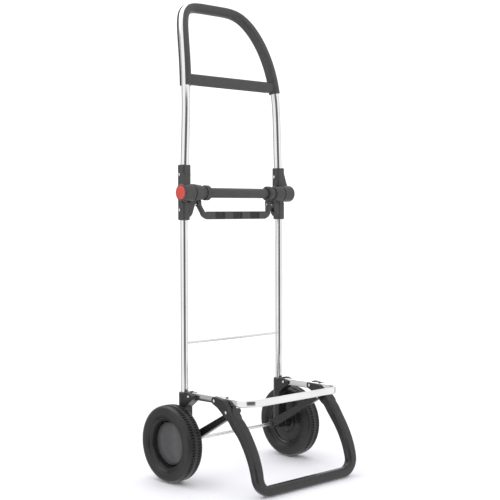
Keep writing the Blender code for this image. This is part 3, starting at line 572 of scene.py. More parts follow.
def tyre_section():
    """(x, radius, notch depth) round the tyre's section, x = 0 in its middle plane."""
    outer = [(0.0, WHEEL_RADIUS, 0.0), (0.0036, WHEEL_RADIUS, 0.0), (0.0041, WHEEL_RADIUS - 0.0002, 0.0022),
             (0.0070, WHEEL_RADIUS - 0.0002, 0.0026), (0.0100, WHEEL_RADIUS - 0.0004, 0.0026),
             (0.0120, WHEEL_RADIUS - 0.0007, 0.0018), (0.0127, WHEEL_RADIUS - 0.0008, 0.0),
             (0.0135, WHEEL_RADIUS - 0.0010, 0.0), (0.0152, WHEEL_RADIUS - 0.0016, 0.0),
             (0.0168, WHEEL_RADIUS - 0.0025, 0.0), (0.0182, WHEEL_RADIUS - 0.0036, 0.0),
             (0.0193, WHEEL_RADIUS - 0.0048, 0.0), (0.0201, WHEEL_RADIUS - 0.0061, 0.0),
             (0.0207, WHEEL_RADIUS - 0.0075, 0.0)]
    wall = [(0.0214, 0.0735), (0.0220, 0.0712), (0.0224, 0.0690), (0.0220, 0.0683), (0.0220, 0.0676),
            (WHEEL_HALF, 0.0668), (0.0224, 0.0650), (0.0221, 0.0634), (0.0216, 0.0620), (0.0205, 0.0613),
            (0.0203, 0.0606), (0.0207, 0.0599), (0.0203, 0.0590), (0.0190, 0.0580), (0.0172, 0.0572),
            (0.0158, 0.0562), (0.0148, 0.0550), (0.0143, 0.0540), (0.0138, TYRE_SEAT)]
    half = outer + [(x, r, 0.0) for x, r in wall]
    return half + [(-x, r, notch) for x, r, notch in reversed(half[1:])]


def tyre_build(bm, side):
    """Tyre with short tread notches along both shoulders, the two rows half a pitch apart."""
    centre = at(side * WHEEL_X, *AXLE)
    steps_in_block = 6
    count = TREAD_BLOCKS * steps_in_block
    section = tyre_section()
    rings = []
    for n in range(count):
        angle = 2 * math.pi * n / count
        ring = []
        for x, radius, notch in section:
            phase = (n + (steps_in_block // 2 if x < 0 else 0)) % steps_in_block
            depth = notch if phase in (0, 1, 2) else 0.0
            r = radius - depth
            ring.append(centre + Vector((side * x, r * math.cos(angle), r * math.sin(angle))))
        rings.append(ring)
    loft(bm, rings, closed=True)


HUB_IN = 0.1578 - WHEEL_X
HUB_OUT = 0.1782 - WHEEL_X
CAP_EDGE = 0.0462


def rim_profile():
    """Rim: lip, barrel, dished web with a raised ring, and hub."""
    seat = TYRE_SEAT - GAP
    profile = [(0.0125, seat), (0.0138, 0.0526), (0.0138, 0.0512), (0.0120, 0.0503), (0.0035, 0.0492)]
    profile += [(-0.0012, 0.047), (-0.0018, 0.0125), (HUB_OUT, 0.0115), (HUB_OUT, 0.0092), (HUB_IN, 0.0092)]
    profile += [(HUB_IN, 0.0125), (-0.0060, 0.0137), (-0.0052, 0.0150), (-0.0054, 0.0235), (-0.0068, 0.0245)]
    profile += [(-0.0068, 0.0270), (-0.0054, 0.0280), (-0.0060, 0.0430), (-0.0078, 0.0470), (-0.0110, 0.0482)]
    profile += [(-0.0125, 0.0502), (-0.0138, 0.0512), (-0.0138, 0.0526), (-0.0125, seat)]
    return soften(profile, 0.0006, 3)


def cap_profile():
    """Domed hub cap, a thin shell with a rolled edge."""
    steps = [0.0003, 0.004] + [0.0035 * k for k in range(2, 13)]
    dome = [(0.0105 - 0.0057 * (r / 0.0435) ** 2.6, r) for r in steps]
    edge = [(0.0041, 0.0446), (0.0032, CAP_EDGE - 0.0003), (0.0020, CAP_EDGE), (0.0003, CAP_EDGE)]
    inside = [(0.0003, 0.0445), (0.0034, 0.0415), (0.0072, 0.030), (0.0087, 0.0003)]
    return dome + edge + inside


for label, side in SIDES:
    hub = at(side * WHEEL_X, *AXLE)
    body = "wheel_" + label
    bm = bmesh.new()
    tyre_build(bm, side)
    piece("tyre_fine_" + label, bm, FOAM, body, ["tyre_" + label], sharp=32.0)
    bm = bmesh.new()
    turned(bm, [(side * x, r) for x, r in rim_profile()], hub, "X", 128, closed=True)
    piece("wheel_rim_fine_" + label, bm, BLACK, body, ["wheel_rim_" + label])
    bm = bmesh.new()
    turned(bm, [(side * x, r) for x, r in cap_profile()], hub, "X", 128)
    piece("hub_cap_fine_" + label, bm, CAP_GREY, body, ["hub_cap_" + label], sharp=50.0)

# ---------------------------------------------------------------- platform
PLATFORM_SLOPE = 0.0164
PLATFORM_FRONT = AXLE_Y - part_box("platform_bar")[0].y - BAR_WIDTH / 2
BAR_CORNER = 0.031
BAR_CROWN = 0.14


def platform_path():
    """Middle line of the U bar, from the left pivot round the front to the right pivot."""
    reach = PLATFORM_FRONT - PLATFORM_AXIS[0]
    half = BAR_HEIGHT / 2
    flat = [(-BAR_X, -half * math.cos(math.pi / 2 * k / 8)) for k in range(9)]
    flat += [(-BAR_X, 0.01 + 0.02 * k) for k in range(6)]
    flat += arc((-BAR_X + BAR_CORNER, reach - BAR_CORNER), BAR_CORNER, 180, 90, 20)
    points = flat + [(-x, f) for x, f in reversed(flat)]
    return [at(x, PLATFORM_AXIS[0] + run, PLATFORM_AXIS[1] + PLATFORM_SLOPE * run) for x, run in points]


def platform_section(k, count):
    """Bar outline at a station; the two ends are rounded off about the pivot."""
    step = min(k, count - 1 - k)
    scale = max(0.03, math.sin(math.pi / 2 * step / 8)) if step < 8 else 1.0
    half = BAR_HEIGHT / 2
    outline = []
    for a, b in rounded(BAR_WIDTH, BAR_HEIGHT, 0.0024, 6):
        outline.append((a * (1.0 - BAR_CROWN * (b / half) ** 2), b * scale))
    return outline


bm = bmesh.new()
path = platform_path()
sweep(bm, path, Vector((0, 0, 1)), lambda k: platform_section(k, len(path)))
piece("platform_bar_fine", bm, BAR_METAL, "platform", ["platform_bar"])

for label, side in SIDES:
    low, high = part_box("platform_stud_" + label)
    foot = Vector(((low.x + high.x) / 2, (low.y + high.y) / 2, low.z))
    radius = (high.x - low.x) / 2
    height = high.z - low.z
    stud = [(height * math.sin(a), radius * math.cos(a)) for a in [math.pi / 2 * k / 8 for k in range(8)]]
    bm = bmesh.new()
    turned(bm, [(0.0, radius)] + stud[1:] + [(height, 0.0002)], foot, "Z", 32)
    piece("platform_stud_fine_" + label, bm, BLACK, "platform", ["platform_stud_" + label])

# ---------------------------------------------------------------- stand
LEG_X = 0.1405
LEG_WIDTH = 0.025
FOOT = (0.229, 0.0106)
FOOT_HEIGHT = 0.0212
LEG_CORNER = 0.030


def leg_forward(z):
    """Forward place of the leg's middle line, a parabola in height."""
    return 0.2266 + 0.1078 * z - 3.622 * z * z


def leg_side(z):
    """Lateral place of the leg's middle line, which moves out to the head's middle at its top."""
    return LEG_X + 0.0023 * max(0.0, min(1.0, (z - 0.125) / 0.02))


def stand_path():
    """Middle line of the stand: down the left leg, along the foot bar, up the right leg."""
    top = 0.158
    bottom = FOOT[1] + LEG_CORNER
    points = [(-leg_side(z), leg_forward(z), z) for z in [top + (bottom - top) * k / 30 for k in range(30)]]
    for x, z in arc((-LEG_X + LEG_CORNER, bottom), LEG_CORNER, 180, 270, 24):
        blend = (x + LEG_X) / LEG_CORNER
        points.append((x, leg_forward(z) * (1 - blend) + FOOT[0] * blend, z))
    points += [(-x, f, z) for x, f, z in reversed(points)]
    return [at(x, f, z) for x, f, z in points]


def stand_section(point):
    """Leg outline: 25 mm wide at the side, deeper towards the top, slimmer along the foot bar."""
    rise = max(0.0, min(1.0, (point.z - FOOT[1]) / 0.04))
    width = FOOT_HEIGHT + (LEG_WIDTH - FOOT_HEIGHT) * rise
    depth = 0.0205 + 0.032 * max(0.0, point.z - 0.05) + 1.76 * max(0.0, point.z - 0.105) ** 2
    depth -= 0.40 * max(0.0, point.z - 0.140)
    return rounded(width, depth, 0.0068, 7)


def head_outline():
    """Side view of the stand's head, round the pivot at its rear end."""
    outline = arc(STAND_AXIS, 0.0088, 80, 230, 24)
    outline += [(0.1190, 0.1715), (0.1345, 0.1600), (0.1490, 0.1475)]
    outline += [(0.1712, 0.1550), (0.1655, 0.1620), (0.1580, 0.1687), (0.1513, 0.1750)]
    return outline + [(0.1462, 0.1820), (0.1408, 0.1878), (0.1350, 0.1903)]


def stand_build(bm):
    path = stand_path()
    sweep(bm, path, Vector((0, -1, 0)), lambda k: stand_section(path[k]))
    for label, side in SIDES:
        prism(bm, soften(head_outline(), 0.003, 4), *mirrored((CHEEK_IN, CHEEK_OUT), side))


def stand_cuts(bm):
    room = BAR_HEIGHT / 2 + SLOT_ROOM
    for label, side in SIDES:
        floor_f = STAND_AXIS[0] + room + 0.0015
        floor_z = STAND_AXIS[1] - room
        slot = [(floor_f, floor_z), (floor_f + 0.1, floor_z + 0.1 * PLATFORM_SLOPE), (floor_f + 0.1, 0.22)]
        slot += [(floor_f - 0.04, 0.22), (floor_f - 0.04, 0.13), (floor_f + 0.0095, 0.13)]
        prism(bm, slot, *mirrored((SLOT_IN, SLOT_OUT), side))
        inner_x = mirrored((CHEEK_IN - 0.001, SLOT_IN + 0.0005), side)
        prism(bm, [(0.09, 0.1912), (0.17, 0.1890), (0.17, 0.22), (0.09, 0.22)], *inner_x)
        for place in (STAND_AXIS, STRUT_PIN):
            groove(bm, side * CHEEK_OUT, side, *place)
        groove(bm, side * CHEEK_IN, -side, *STAND_AXIS)


moulding("stand_loop_fine", stand_build, stand_cuts, 0.0010, BLACK, "stand", ["stand_loop"], rounds=8)

# ---------------------------------------------------------------- struts
STRUT_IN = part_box("strut_right")[0].x
STRUT_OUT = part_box("strut_right")[1].x


def strut_build(bm, side):
    """Flat bar with a larger eye on the axle and a round end at the stand."""
    rise = math.degrees(math.atan2(STRUT_PIN[1] - AXLE[1], STRUT_PIN[0] - AXLE[0]))
    outline = arc(STRUT_PIN, 0.0058, rise - 90, rise + 90, 20)
    outline += arc(AXLE, 0.0105, rise + 60, rise + 300, 32)
    x0, x1 = mirrored((STRUT_IN, STRUT_OUT), side)
    prism(bm, outline, x0, x1)


def strut_cuts(bm, side):
    pin(bm, *mirrored((0.10, 0.14), side), *AXLE, 0.0046, 40)
    groove(bm, side * STRUT_IN, -side, *STRUT_PIN)


for label, side in SIDES:
    moulding("strut_fine_" + label, lambda bm: strut_build(bm, side), lambda bm: strut_cuts(bm, side),
             0.0007, BLACK, "struts", ["strut_" + label])
rivets("strut_end_stud", STRUT_IN, STRUT_OUT - 2 * GAP, STRUT_PIN, "struts", outer_head=False)

# ---------------------------------------------------------------- fold joint
BARREL_RADIUS = 0.019
INNER_BARREL = (0.1085, 0.1325)
OUTER_BARREL = (0.1341, 0.1650)
LOWER_COLUMN = (0.559, 0.6172)
UPPER_COLUMN = (0.6178, 0.678)
LOWER_RIVET_Z = middle("knuckle_lower_rivet_right").z
UPPER_RIVET_Z = middle("knuckle_upper_rivet_right").z
BOSS = 0.0016
UPPER_COLUMN_X = 0.1417
UPPER_COLUMN_WIDTH = 0.0248
UPPER_BOSS_X = (UPPER_COLUMN_X - UPPER_COLUMN_WIDTH / 2 - BOSS,
                UPPER_COLUMN_X + UPPER_COLUMN_WIDTH / 2 + BOSS)
ARCH_RADIUS = 0.0095
ARCH_FOOT_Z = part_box("upper_tube")[0].z
ARCH_SPRING_Z = 0.815
ARCH_HALF = 0.1352
ARCH_RISE = 0.2198
ARM_LEAN = 0.036


def arm_x(z):
    """The arms lean inwards as they rise to the arch."""
    return ARCH_HALF + ARM_LEAN * (ARCH_SPRING_Z - z)


def lower_knuckle_build(bm, side):
    """Column, conical inner barrel, tapered web and rivet bosses."""
    column(bm, side * TUBE_X, COLUMN, *LOWER_COLUMN)
    cone = [(INNER_BARREL[0], 0.0140), (INNER_BARREL[0] + 0.001, 0.0158), (INNER_BARREL[0] + 0.003, 0.0168)]
    cone += [(INNER_BARREL[1] - 0.0008, BARREL_RADIUS), (INNER_BARREL[1], BARREL_RADIUS - 0.0004)]
    turned(bm, [(side * x, r) for x, r in cone], at(0.0, *FOLD), "X", 72)
    rings = []
    for z, x_in, half in ((0.5665, 0.1305, 0.0084), (0.572, 0.1265, 0.0092), (0.599, 0.1165, 0.0092),
                          (0.6145, 0.1155, 0.0092)):
        rings.append([at(side * x_in, half, z), at(side * 0.1350, half, z),
                      at(side * 0.1350, -half, z), at(side * x_in, -half, z)])
    loft(bm, rings)
    boss_x = mirrored((TUBE_X - COLUMN / 2 - BOSS, TUBE_X + COLUMN / 2 + BOSS), side)
    pin(bm, *boss_x, 0.0, LOWER_RIVET_Z, 0.0058)


def lower_knuckle_cuts(bm, side):
    swing_x = mirrored((INNER_BARREL[1] + 0.0003, 0.18), side)
    pin(bm, *swing_x, *FOLD, BARREL_RADIUS + 0.0005, 72)
    front = [(0.005, 0.598), (0.05, 0.598), (0.05, 0.64), (0.005, 0.64)]
    prism(bm, front, *swing_x)
    bore = [(0.55, TUBE_RADIUS + GAP), (TUBE_TOP + GAP, TUBE_RADIUS + GAP)]
    turned(bm, bore, at(side * TUBE_X, 0.0, 0.0), "Z", 64)
    groove(bm, side * (TUBE_X + COLUMN / 2 + BOSS), side, 0.0, LOWER_RIVET_Z)
    pin(bm, *mirrored((0.10, TUBE_X - COLUMN / 2 - BOSS), side), 0.0, LOWER_RIVET_Z, 0.0050)


def upper_knuckle_build(bm, side):
    """Column, outer barrel, rib on the outer front corner and rivet bosses."""
    column(bm, side * UPPER_COLUMN_X, UPPER_COLUMN_WIDTH, *UPPER_COLUMN)
    x0, x1 = OUTER_BARREL
    drum = [(x0, BARREL_RADIUS - 0.0004), (x0 + 0.0008, BARREL_RADIUS), (x1 - 0.0045, BARREL_RADIUS - 0.0004)]
    drum += [(x1 - 0.0026, BARREL_RADIUS - 0.0009), (x1 - 0.0010, BARREL_RADIUS - 0.0021)]
    drum += [(x1, BARREL_RADIUS - 0.0040)]
    turned(bm, [(side * x, r) for x, r in drum], at(0.0, *FOLD), "X", 72)
    rings = []
    for z, x_out, front, back in ((0.668, 0.1530, 0.0080, 0.0010), (0.655, 0.1548, 0.0100, 0.0015),
                                  (0.634, 0.1598, 0.0130, 0.0025), (0.6182, 0.1635, 0.0150, 0.0035)):
        corner = [(side * 0.1400, front), (side * x_out, front), (side * x_out, back), (side * 0.1400, back)]
        rings.append([at(x, f, z) for x, f in corner])
    loft(bm, rings)
    boss_x = mirrored(UPPER_BOSS_X, side)
    pin(bm, *boss_x, 0.0, UPPER_RIVET_Z, 0.0058)


def upper_knuckle_cuts(bm, side):
    inner_x = mirrored((0.10, OUTER_BARREL[0]), side)
    pin(bm, *inner_x, *FOLD, BARREL_RADIUS + 0.0012, 72)
    foot = at(side * arm_x(ARCH_FOOT_Z - GAP), 0.0, ARCH_FOOT_Z - GAP)
    head = at(side * arm_x(0.70), 0.0, 0.70)
    sweep(bm, [foot, head], Vector((0, -1, 0)), lambda k: arc((0.0, 0.0), ARCH_RADIUS + GAP, 0, 354.375, 63))
    groove(bm, side * UPPER_BOSS_X[1], side, 0.0, UPPER_RIVET_Z)
    groove(bm, side * UPPER_BOSS_X[0], -side, 0.0, UPPER_RIVET_Z)
    corner = Vector((side * 0.729, -0.684, 0.0))
    along = Vector((corner.y, -corner.x, 0.0))
    rings = []
    for z, reach in ((0.652, 0.1189), (0.680, 0.1141)):
        near = Vector((0.0, AXLE_Y, z)) + corner * reach
        rings.append([near - along * 0.03, near + along * 0.03,
                      near + along * 0.03 + corner * 0.03, near - along * 0.03 + corner * 0.03])
    loft(bm, rings)
    if side < 0:
        pin(bm, -0.17, -0.1545, *FOLD, 0.0153, 72)
    else:
        pin(bm, 0.1590, 0.17, *FOLD, 0.0138, 72)


for label, side in SIDES:
    moulding("knuckle_lower_fine_" + label, lambda bm: lower_knuckle_build(bm, side),
             lambda bm: lower_knuckle_cuts(bm, side), 0.0007, CHARCOAL, "frame", ["knuckle_lower_" + label])
    moulding("knuckle_upper_fine_" + label, lambda bm: upper_knuckle_build(bm, side),
             lambda bm: upper_knuckle_cuts(bm, side), 0.0007, CHARCOAL, "handle", ["knuckle_upper_" + label])

boss_reach = COLUMN / 2 + BOSS
rivets("knuckle_lower_rivet", TUBE_X - boss_reach, TUBE_X + boss_reach, (0.0, LOWER_RIVET_Z), "frame")
rivets("knuckle_upper_rivet", *UPPER_BOSS_X, (0.0, UPPER_RIVET_Z), "handle")

GRIP_END = extent("grip_tube").x / 2
GRIP_RADIUS = extent("grip_tube").z / 2
SHAFT_BORE = 0.0043
bm = bmesh.new()
grip = [(-GRIP_END, GRIP_RADIUS), (GRIP_END, GRIP_RADIUS), (GRIP_END, SHAFT_BORE), (-GRIP_END, SHAFT_BORE)]
turned(bm, soften(grip, 0.0006, 3), at(0.0, *FOLD), "X", 72, closed=True)
piece("grip_tube_fine", bm, CHARCOAL, "frame", ["grip_tube"])

for label, side in SIDES:
    ring = [(0.0875, GRIP_RADIUS + GAP), (0.0875, 0.0150), (0.0890, 0.0165), (0.0905, 0.0165)]
    ring += [(0.0910, 0.0157), (0.0916, 0.0157), (0.0921, 0.0165), (0.0975, 0.0165), (0.0988, 0.0158)]
    ring += [(0.0992, 0.0130), (0.1082, 0.0130), (0.1082, SHAFT_BORE), (GRIP_END + GAP, SHAFT_BORE)]
    ring += [(GRIP_END + GAP, GRIP_RADIUS + GAP)]
    bm = bmesh.new()
    turned(bm, [(side * x, r) for x, r in soften(ring, 0.0005, 3)], at(0.0, *FOLD), "X", 72, closed=True)
    piece("grip_collar_fine_" + label, bm, CHARCOAL, "frame", ["grip_collar_" + label])

# release button and the cap at the other end
BUTTON_FACE = 0.1655
BUTTON_RADIUS = 0.0149
bm = bmesh.new()
face = [(BUTTON_FACE + 0.0006 - 0.9 * (r / BUTTON_RADIUS) ** 2 * 0.0005, r)
        for r in (0.0003, 0.004, 0.008, 0.011)]
face += [(BUTTON_FACE - 0.0001, 0.0134), (BUTTON_FACE - 0.0005, 0.0143), (BUTTON_FACE - 0.0013, BUTTON_RADIUS)]
face += [(0.1600, BUTTON_RADIUS), (0.1600, 0.0032), (0.1515, 0.0032)]
turned(bm, [(-x, r) for x, r in face], at(0.0, *FOLD), "X", 96)
piece("release_button_fine", bm, RED, "button", ["release_button"], sharp=50.0)

bm = bmesh.new()
cap = [(0.1593, 0.0135), (0.1652, 0.0135), (0.1660, 0.0131), (0.1664, 0.0122), (0.1667, 0.0080)]
cap.append((0.1668, 0.0003))
turned(bm, cap, at(0.0, *FOLD), "X", 96)
piece("fold_end_cap_fine", bm, CHARCOAL, "handle", ["fold_end_cap"], sharp=50.0)

# ---------------------------------------------------------------- carry bail
BAIL_TOP_X = 0.105
BAIL_FOOT_X = 0.0990
BAIL_LOBE = 0.0055
BAIL_BAR = (0.0095, 0.5690)
FINGER_PITCH = 0.052
SCOOP_SHADE_END = 1.6           # where the painted shade of the finger scoops ends, in finger pitches from the bar's middle
BAIL_ARM = (0.0100, 0.0098)         # width and depth
BAIL_GRIP = (0.0174, 0.0112)


def bail_route():
    """Down one arm, round the corner, along the bar and up the other arm."""
    top_f, top_z = BAIL_AXIS
    bar_f, bar_z = BAIL_BAR
    points = [Vector((-BAIL_TOP_X, top_f, top_z + BAIL_LOBE)), Vector((-BAIL_TOP_X, top_f, top_z))]
    points.append(Vector((-BAIL_TOP_X + 0.0042, top_f + 0.0035, top_z - 0.0115)))
    for x, z in arc((-BAIL_FOOT_X + 0.0075, bar_z + 0.0075), 0.0075, 180, 270, 12):
        points.append(Vector((x, bar_f - 0.05 * (z - bar_z), z)))
    points += [Vector((-p.x, p.y, p.z)) for p in reversed(points)]
    return even_stations(points, 0.0016)


def bail_section(x):
    """Bar outline: flat arms that widen into a bar with three finger scoops in its front."""
    blend = max(0.0, min(1.0, (0.0955 - abs(x)) / 0.008))
    width = BAIL_ARM[0] + (BAIL_GRIP[0] - BAIL_ARM[0]) * blend
    depth = BAIL_ARM[1] + (BAIL_GRIP[1] - BAIL_ARM[1]) * blend
    wave = max(0.0, min(1.0, 0.5 + 1.5 * math.cos(2 * math.pi * x / FINGER_PITCH)))
    scoop = 0.0026 * blend * wave * wave * (3.0 - 2.0 * wave) if abs(x) < 1.70 * FINGER_PITCH else 0.0
    outline = []
    for a, b in rounded(width, depth, 0.0026 + 0.0010 * blend, 6):
        lip = max(0.0, 1.0 - (abs(a) / (0.40 * width)) ** 4)
        outline.append((a, b - (scoop * (0.35 + 0.65 * lip) if b > 0 else 0.0)))
    return outline


def bail_build(bm):
    route = bail_route()
    sweep(bm, [at(*p) for p in route], Vector((0, -1, 0)), lambda k: bail_section(route[k].x))
    for label, side in SIDES:
        eye = mirrored((BAIL_TOP_X - 0.0050, BAIL_TOP_X + 0.0050), side)
        pin(bm, *eye, *BAIL_AXIS, 0.0056, 48)
        pin(bm, *eye, BAIL_AXIS[0], BAIL_AXIS[1] + BAIL_LOBE, 0.0053, 48)


def bail_cuts(bm):
    for label, side in SIDES:
        pin(bm, *mirrored((0.0995, 0.115), side), *BAIL_AXIS, 0.0031, 32)


def bail_plastic_painted_shade():
    """The charcoal plastic with painted shade: a much darker base colour in the finger scoops."""
    look = Look("bail_plastic_painted_shade", "charcoal_plastic", 0.3)
    mottle = look.noise(95.0, 4.0, 0.6)
    turn = 2 * math.pi / FINGER_PITCH
    split = look.nodes.new("ShaderNodeSeparateXYZ")
    look.links.new(look.stretched((turn, turn, turn)), split.inputs[0])
    wave = look.combined("COSINE", split.outputs["X"])
    distance = look.combined("ABSOLUTE", split.outputs["X"])
    past_ends = look.combined("GREATER_THAN", distance, SCOOP_SHADE_END * 2 * math.pi)
    masked = look.combined("SUBTRACT", wave, look.combined("MULTIPLY", past_ends, 3.0))
    scoop_painted_shade = look.spread(masked, 1.0, 0.0, -0.25, 0.25)
    # painted shade: the finger scoops are coloured far darker than the rest of the bar
    look.colour(scoop_painted_shade, (0.008, 0.008, 0.009), (0.046, 0.046, 0.047))
    look.roughness(mottle, 0.30, 0.42)
    look.bump((look.noise(28.0, 2.0), 0.00012), (look.cells(1500.0), 0.00003))
    return look


moulding("carry_bail_fine", bail_build, bail_cuts, 0.0006, bail_plastic_painted_shade(), "bail", ["carry_bail"])

# ---------------------------------------------------------------- handle
COVER_RADIUS = 0.0130
COVER_FOOT_Z = 0.847
CROSSBAR_Z = 0.862
CROSSBAR_HEIGHT = 0.024
CROSSBAR_DEPTH = 0.017
FRONT = Vector((0, -1, 0))


def arch_point(t):
    """Middle line of the curved top; t runs from 0 (left spring) to 1 (right spring)."""
    angle = math.pi * (1.0 - t)
    c = math.cos(angle)
    s = max(0.0, math.sin(angle))
    x = math.copysign(abs(c) ** (2 / 5), c) * ARCH_HALF
    z = ARCH_SPRING_Z + ARCH_RISE * s ** (2 / 1.5)
    return x, z


def arch_sweep_back(z):
    """The arch leans backwards, more and more towards its top."""
    return -1.865 * max(0.0, z - 0.769) ** 2.44


def arch_curve():
    """The whole curved top as a fine polyline."""
    fine = []
    for k in range(1201):
        t = 0.5 - 0.5 * math.cos(math.pi * k / 1200)
        x, z = arch_point(t)
        fine.append(at(x, arch_sweep_back(z), z))
    return fine


CURVED = even_stations(arch_curve(), 0.0042)
arm = [at(-arm_x(z), arch_sweep_back(z), z)
       for z in [ARCH_FOOT_Z + (ARCH_SPRING_Z - ARCH_FOOT_Z) * k / 24 for k in range(24)]]
UPPER_PATH = arm + CURVED + [Vector((-p.x, p.y, p.z)) for p in reversed(arm)]

bm = bmesh.new()
hollow_sweep(bm, UPPER_PATH, FRONT, ARCH_RADIUS, WALL, 72)
piece("upper_tube_fine", bm, TUBE_METAL, "handle", ["upper_tube"])

LIP_ANGLE = 132.0
RIDGE_ANGLE = 66.0


def cover_section():
    """C-shaped section, open towards the arch's outer side, with a fine parting ridge on each flank."""
    outer = []
    for k in range(61):
        angle = -LIP_ANGLE + 2 * LIP_ANGLE * k / 60
        ridge = 0.00028 * math.exp(-((abs(angle) - RIDGE_ANGLE) / 3.0) ** 2)
        radius = COVER_RADIUS - 0.00025 + ridge
        outer.append((radius * math.cos(math.radians(angle)), radius * math.sin(math.radians(angle))))
    inner = arc((0.0, 0.0), ARCH_RADIUS + 0.0004, LIP_ANGLE, -LIP_ANGLE, 40)
    return outer + inner


bm = bmesh.new()
section = cover_section()
covered = [p for p in CURVED if p.z > COVER_FOOT_Z]
sweep(bm, covered, FRONT, lambda k: section)
cover = mesh_object("handle_cover_fine", bm, CHARCOAL)


def crossbar_build(bm):
    """Flat bar between the arms, with a long hollow in its underside."""
    reach = 0.1250
    middle_f = arch_sweep_back(CROSSBAR_Z)
    outline = rounded(CROSSBAR_DEPTH, CROSSBAR_HEIGHT, 0.0055, 7)
    rings = [[at(x, middle_f + a, CROSSBAR_Z + b) for a, b in outline] for x in (-reach, reach)]
    loft(bm, rings)


def crossbar_hollow(bm):
    middle_f = arch_sweep_back(CROSSBAR_Z)
    z0 = CROSSBAR_Z - CROSSBAR_HEIGHT / 2
    outline = rounded(0.208, 0.0095, 0.003, 5)
    loft(bm, [[at(a, middle_f + b, z) for a, b in outline] for z in (z0 - 0.01, z0 + 0.011)])


for build, operation in ((crossbar_build, "UNION"), (crossbar_hollow, "DIFFERENCE")):
    bm = bmesh.new()
    build(bm)
    tool = mesh_object("tool", bm, CHARCOAL)
    step = cover.modifiers.new("step", "BOOLEAN")
    step.operation = operation
    step.solver = "EXACT"
    step.object = tool
    evaluated(cover)
    bpy.data.objects.remove(tool, do_unlink=True)
settle(cover, "handle", ["handle_cover"], sharp=30.0)

# ---------------------------------------------------------------- carried-over CAD nodes
KEPT = {
    STEEL: ["axle_rod", "fold_shaft", "button_spring"],
    BLACK: ["fold_washer_left", "fold_washer_right"],
    NYLON: [],
}
for label, side in SIDES:
    KEPT[STEEL] += ["axle_washer_" + label, "axle_push_nut_" + label, "bail_pin_" + label]
    KEPT[BLACK] += ["strut_ring_" + label]
    KEPT[NYLON] += ["wheel_bush_inner_" + label, "wheel_bush_outer_" + label]
for look, names in KEPT.items():
    for name in names:
        node = frame["nodes"][name]
        node.data.materials.clear()
        node.data.materials.append(look.material)

# ---------------------------------------------------------------- camera
CAMERA_FROM_AXLE = Vector((-1.5935, -1.7539, 0.5811))
LOOK = Vector((0.68353, 0.72894, -0.03797)).normalized()
RIGHT = Vector((0.72941, -0.68408, -0.00204))
camera_data = bpy.data.cameras.new("camera")
camera_data.sensor_width = 36.0
camera_data.lens = 76.18
camera_data.clip_end = 60.0
camera = bpy.data.objects.new("camera", camera_data)
bpy.context.scene.collection.objects.link(camera)
right = (RIGHT - LOOK * RIGHT.dot(LOOK)).normalized()
up = right.cross(LOOK)
camera.matrix_world = Matrix.Translation(CAMERA_FROM_AXLE + Vector((0, AXLE_Y, 0))) @ Matrix(
    (right, up, -LOOK)).transposed().to_4x4()
bpy.context.scene.camera = camera

# ---------------------------------------------------------------- floor
bm = bmesh.new()
bmesh.ops.create_grid(bm, x_segments=1, y_segments=1, size=14.0)
floor_look = Look("studio_floor", None, 0.6)
floor_look.colour(floor_look.noise(2.0), (0.885, 0.880, 0.925), (0.895, 0.890, 0.935))
floor = mesh_object("studio_floor", bm, floor_look)
floor.location.z = -0.0002
floor.visible_glossy = False

# ---------------------------------------------------------------- studio light
world = bpy.data.worlds.new("studio")
bpy.context.scene.world = world
world.use_nodes = True
world.cycles.sampling_method = "NONE"
nodes = world.node_tree.nodes
links = world.node_tree.links
background = nodes["Background"]
REFLECTED_LEVEL = 0.98      # what the metal and the plastic mirror
DIFFUSE_LEVEL = 1.20        # what lights matt surfaces
BACKDROP_LEVEL = 1.2        # what the camera sees behind the floor
FLAG_SOFT = 0.08            # how softly a dark flag ends at its top and bottom


def wired(kind, *sources, **settings):
    """First output of a new world node with its inputs linked or set."""
    node = nodes.new(kind)
    for key, value in settings.items():
        setattr(node, key, value)
    for index, source in enumerate(sources):
        if hasattr(source, "is_linked"):
            links.new(source, node.inputs[index])
        else:
            node.inputs[index].default_value = source
    return node.outputs[0]


direction = nodes.new("ShaderNodeTexCoord").outputs["Generated"]
split = nodes.new("ShaderNodeSeparateXYZ")
links.new(direction, split.inputs[0])
azimuth = wired("ShaderNodeMath", split.outputs["Y"], split.outputs["X"], operation="ARCTAN2")


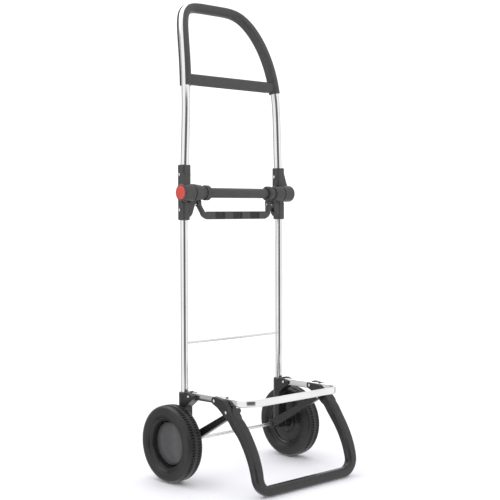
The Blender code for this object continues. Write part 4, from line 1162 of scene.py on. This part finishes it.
def band(centre, half, soft, low_z, high_z):
    """1 inside a dark flag that stands at an azimuth, in degrees, and 0 outside it."""
    offset = wired("ShaderNodeMath", azimuth, math.radians(centre), operation="SUBTRACT")
    offset = wired("ShaderNodeMath", offset, math.pi, -math.pi, operation="WRAP")
    offset = wired("ShaderNodeMath", offset, operation="ABSOLUTE")
    across = wired("ShaderNodeMapRange", offset, math.radians(half + soft), math.radians(half - soft), 0.0, 1.0,
                   interpolation_type="SMOOTHSTEP")
    below = wired("ShaderNodeMapRange", split.outputs["Z"], high_z + FLAG_SOFT, high_z - FLAG_SOFT, 0.0, 1.0)
    above = wired("ShaderNodeMapRange", split.outputs["Z"], low_z - FLAG_SOFT, low_z + FLAG_SOFT, 0.0, 1.0)
    tall = wired("ShaderNodeMath", below, above, operation="MULTIPLY")
    return wired("ShaderNodeMath", across, tall, operation="MULTIPLY")


def dimmed(level, mask, target):
    """level * (1 - mask) + target * mask."""
    change = wired("ShaderNodeMath", target, level, operation="SUBTRACT")
    change = wired("ShaderNodeMath", change, mask, operation="MULTIPLY")
    return wired("ShaderNodeMath", level, change, operation="ADD")


CAMERA_AZIMUTH = math.degrees(math.atan2(-LOOK.y, -LOOK.x))
level = dimmed(REFLECTED_LEVEL, band(CAMERA_AZIMUTH + 16.0, 30.0, 5.0, -0.30, 0.30), 0.12)
level = dimmed(level, band(CAMERA_AZIMUTH + 122.0, 9.0, 5.0, -1.2, 0.7), 0.55)
level = dimmed(level, band(CAMERA_AZIMUTH - 112.0, 22.0, 7.0, -1.2, 0.6), 0.40)
ray = nodes.new("ShaderNodeLightPath")
level = dimmed(level, ray.outputs["Is Diffuse Ray"], DIFFUSE_LEVEL)
level = dimmed(level, ray.outputs["Is Camera Ray"], BACKDROP_LEVEL)
links.new(level, background.inputs["Strength"])
background.inputs["Color"].default_value = (1.0, 1.0, 1.0, 1.0)

key_data = bpy.data.lights.new("overhead", "AREA")
key_data.shape = "SQUARE"
key_data.size = 2.4
key_data.energy = 26.0
key = bpy.data.objects.new("overhead", key_data)
key.location = (-0.3, 1.5, 3.0)
key.rotation_euler = (Vector((0, 0, 0.4)) - key.location).to_track_quat("-Z", "Y").to_euler()
bpy.context.scene.collection.objects.link(key)

bpy.context.scene.view_settings.view_transform = "Standard"
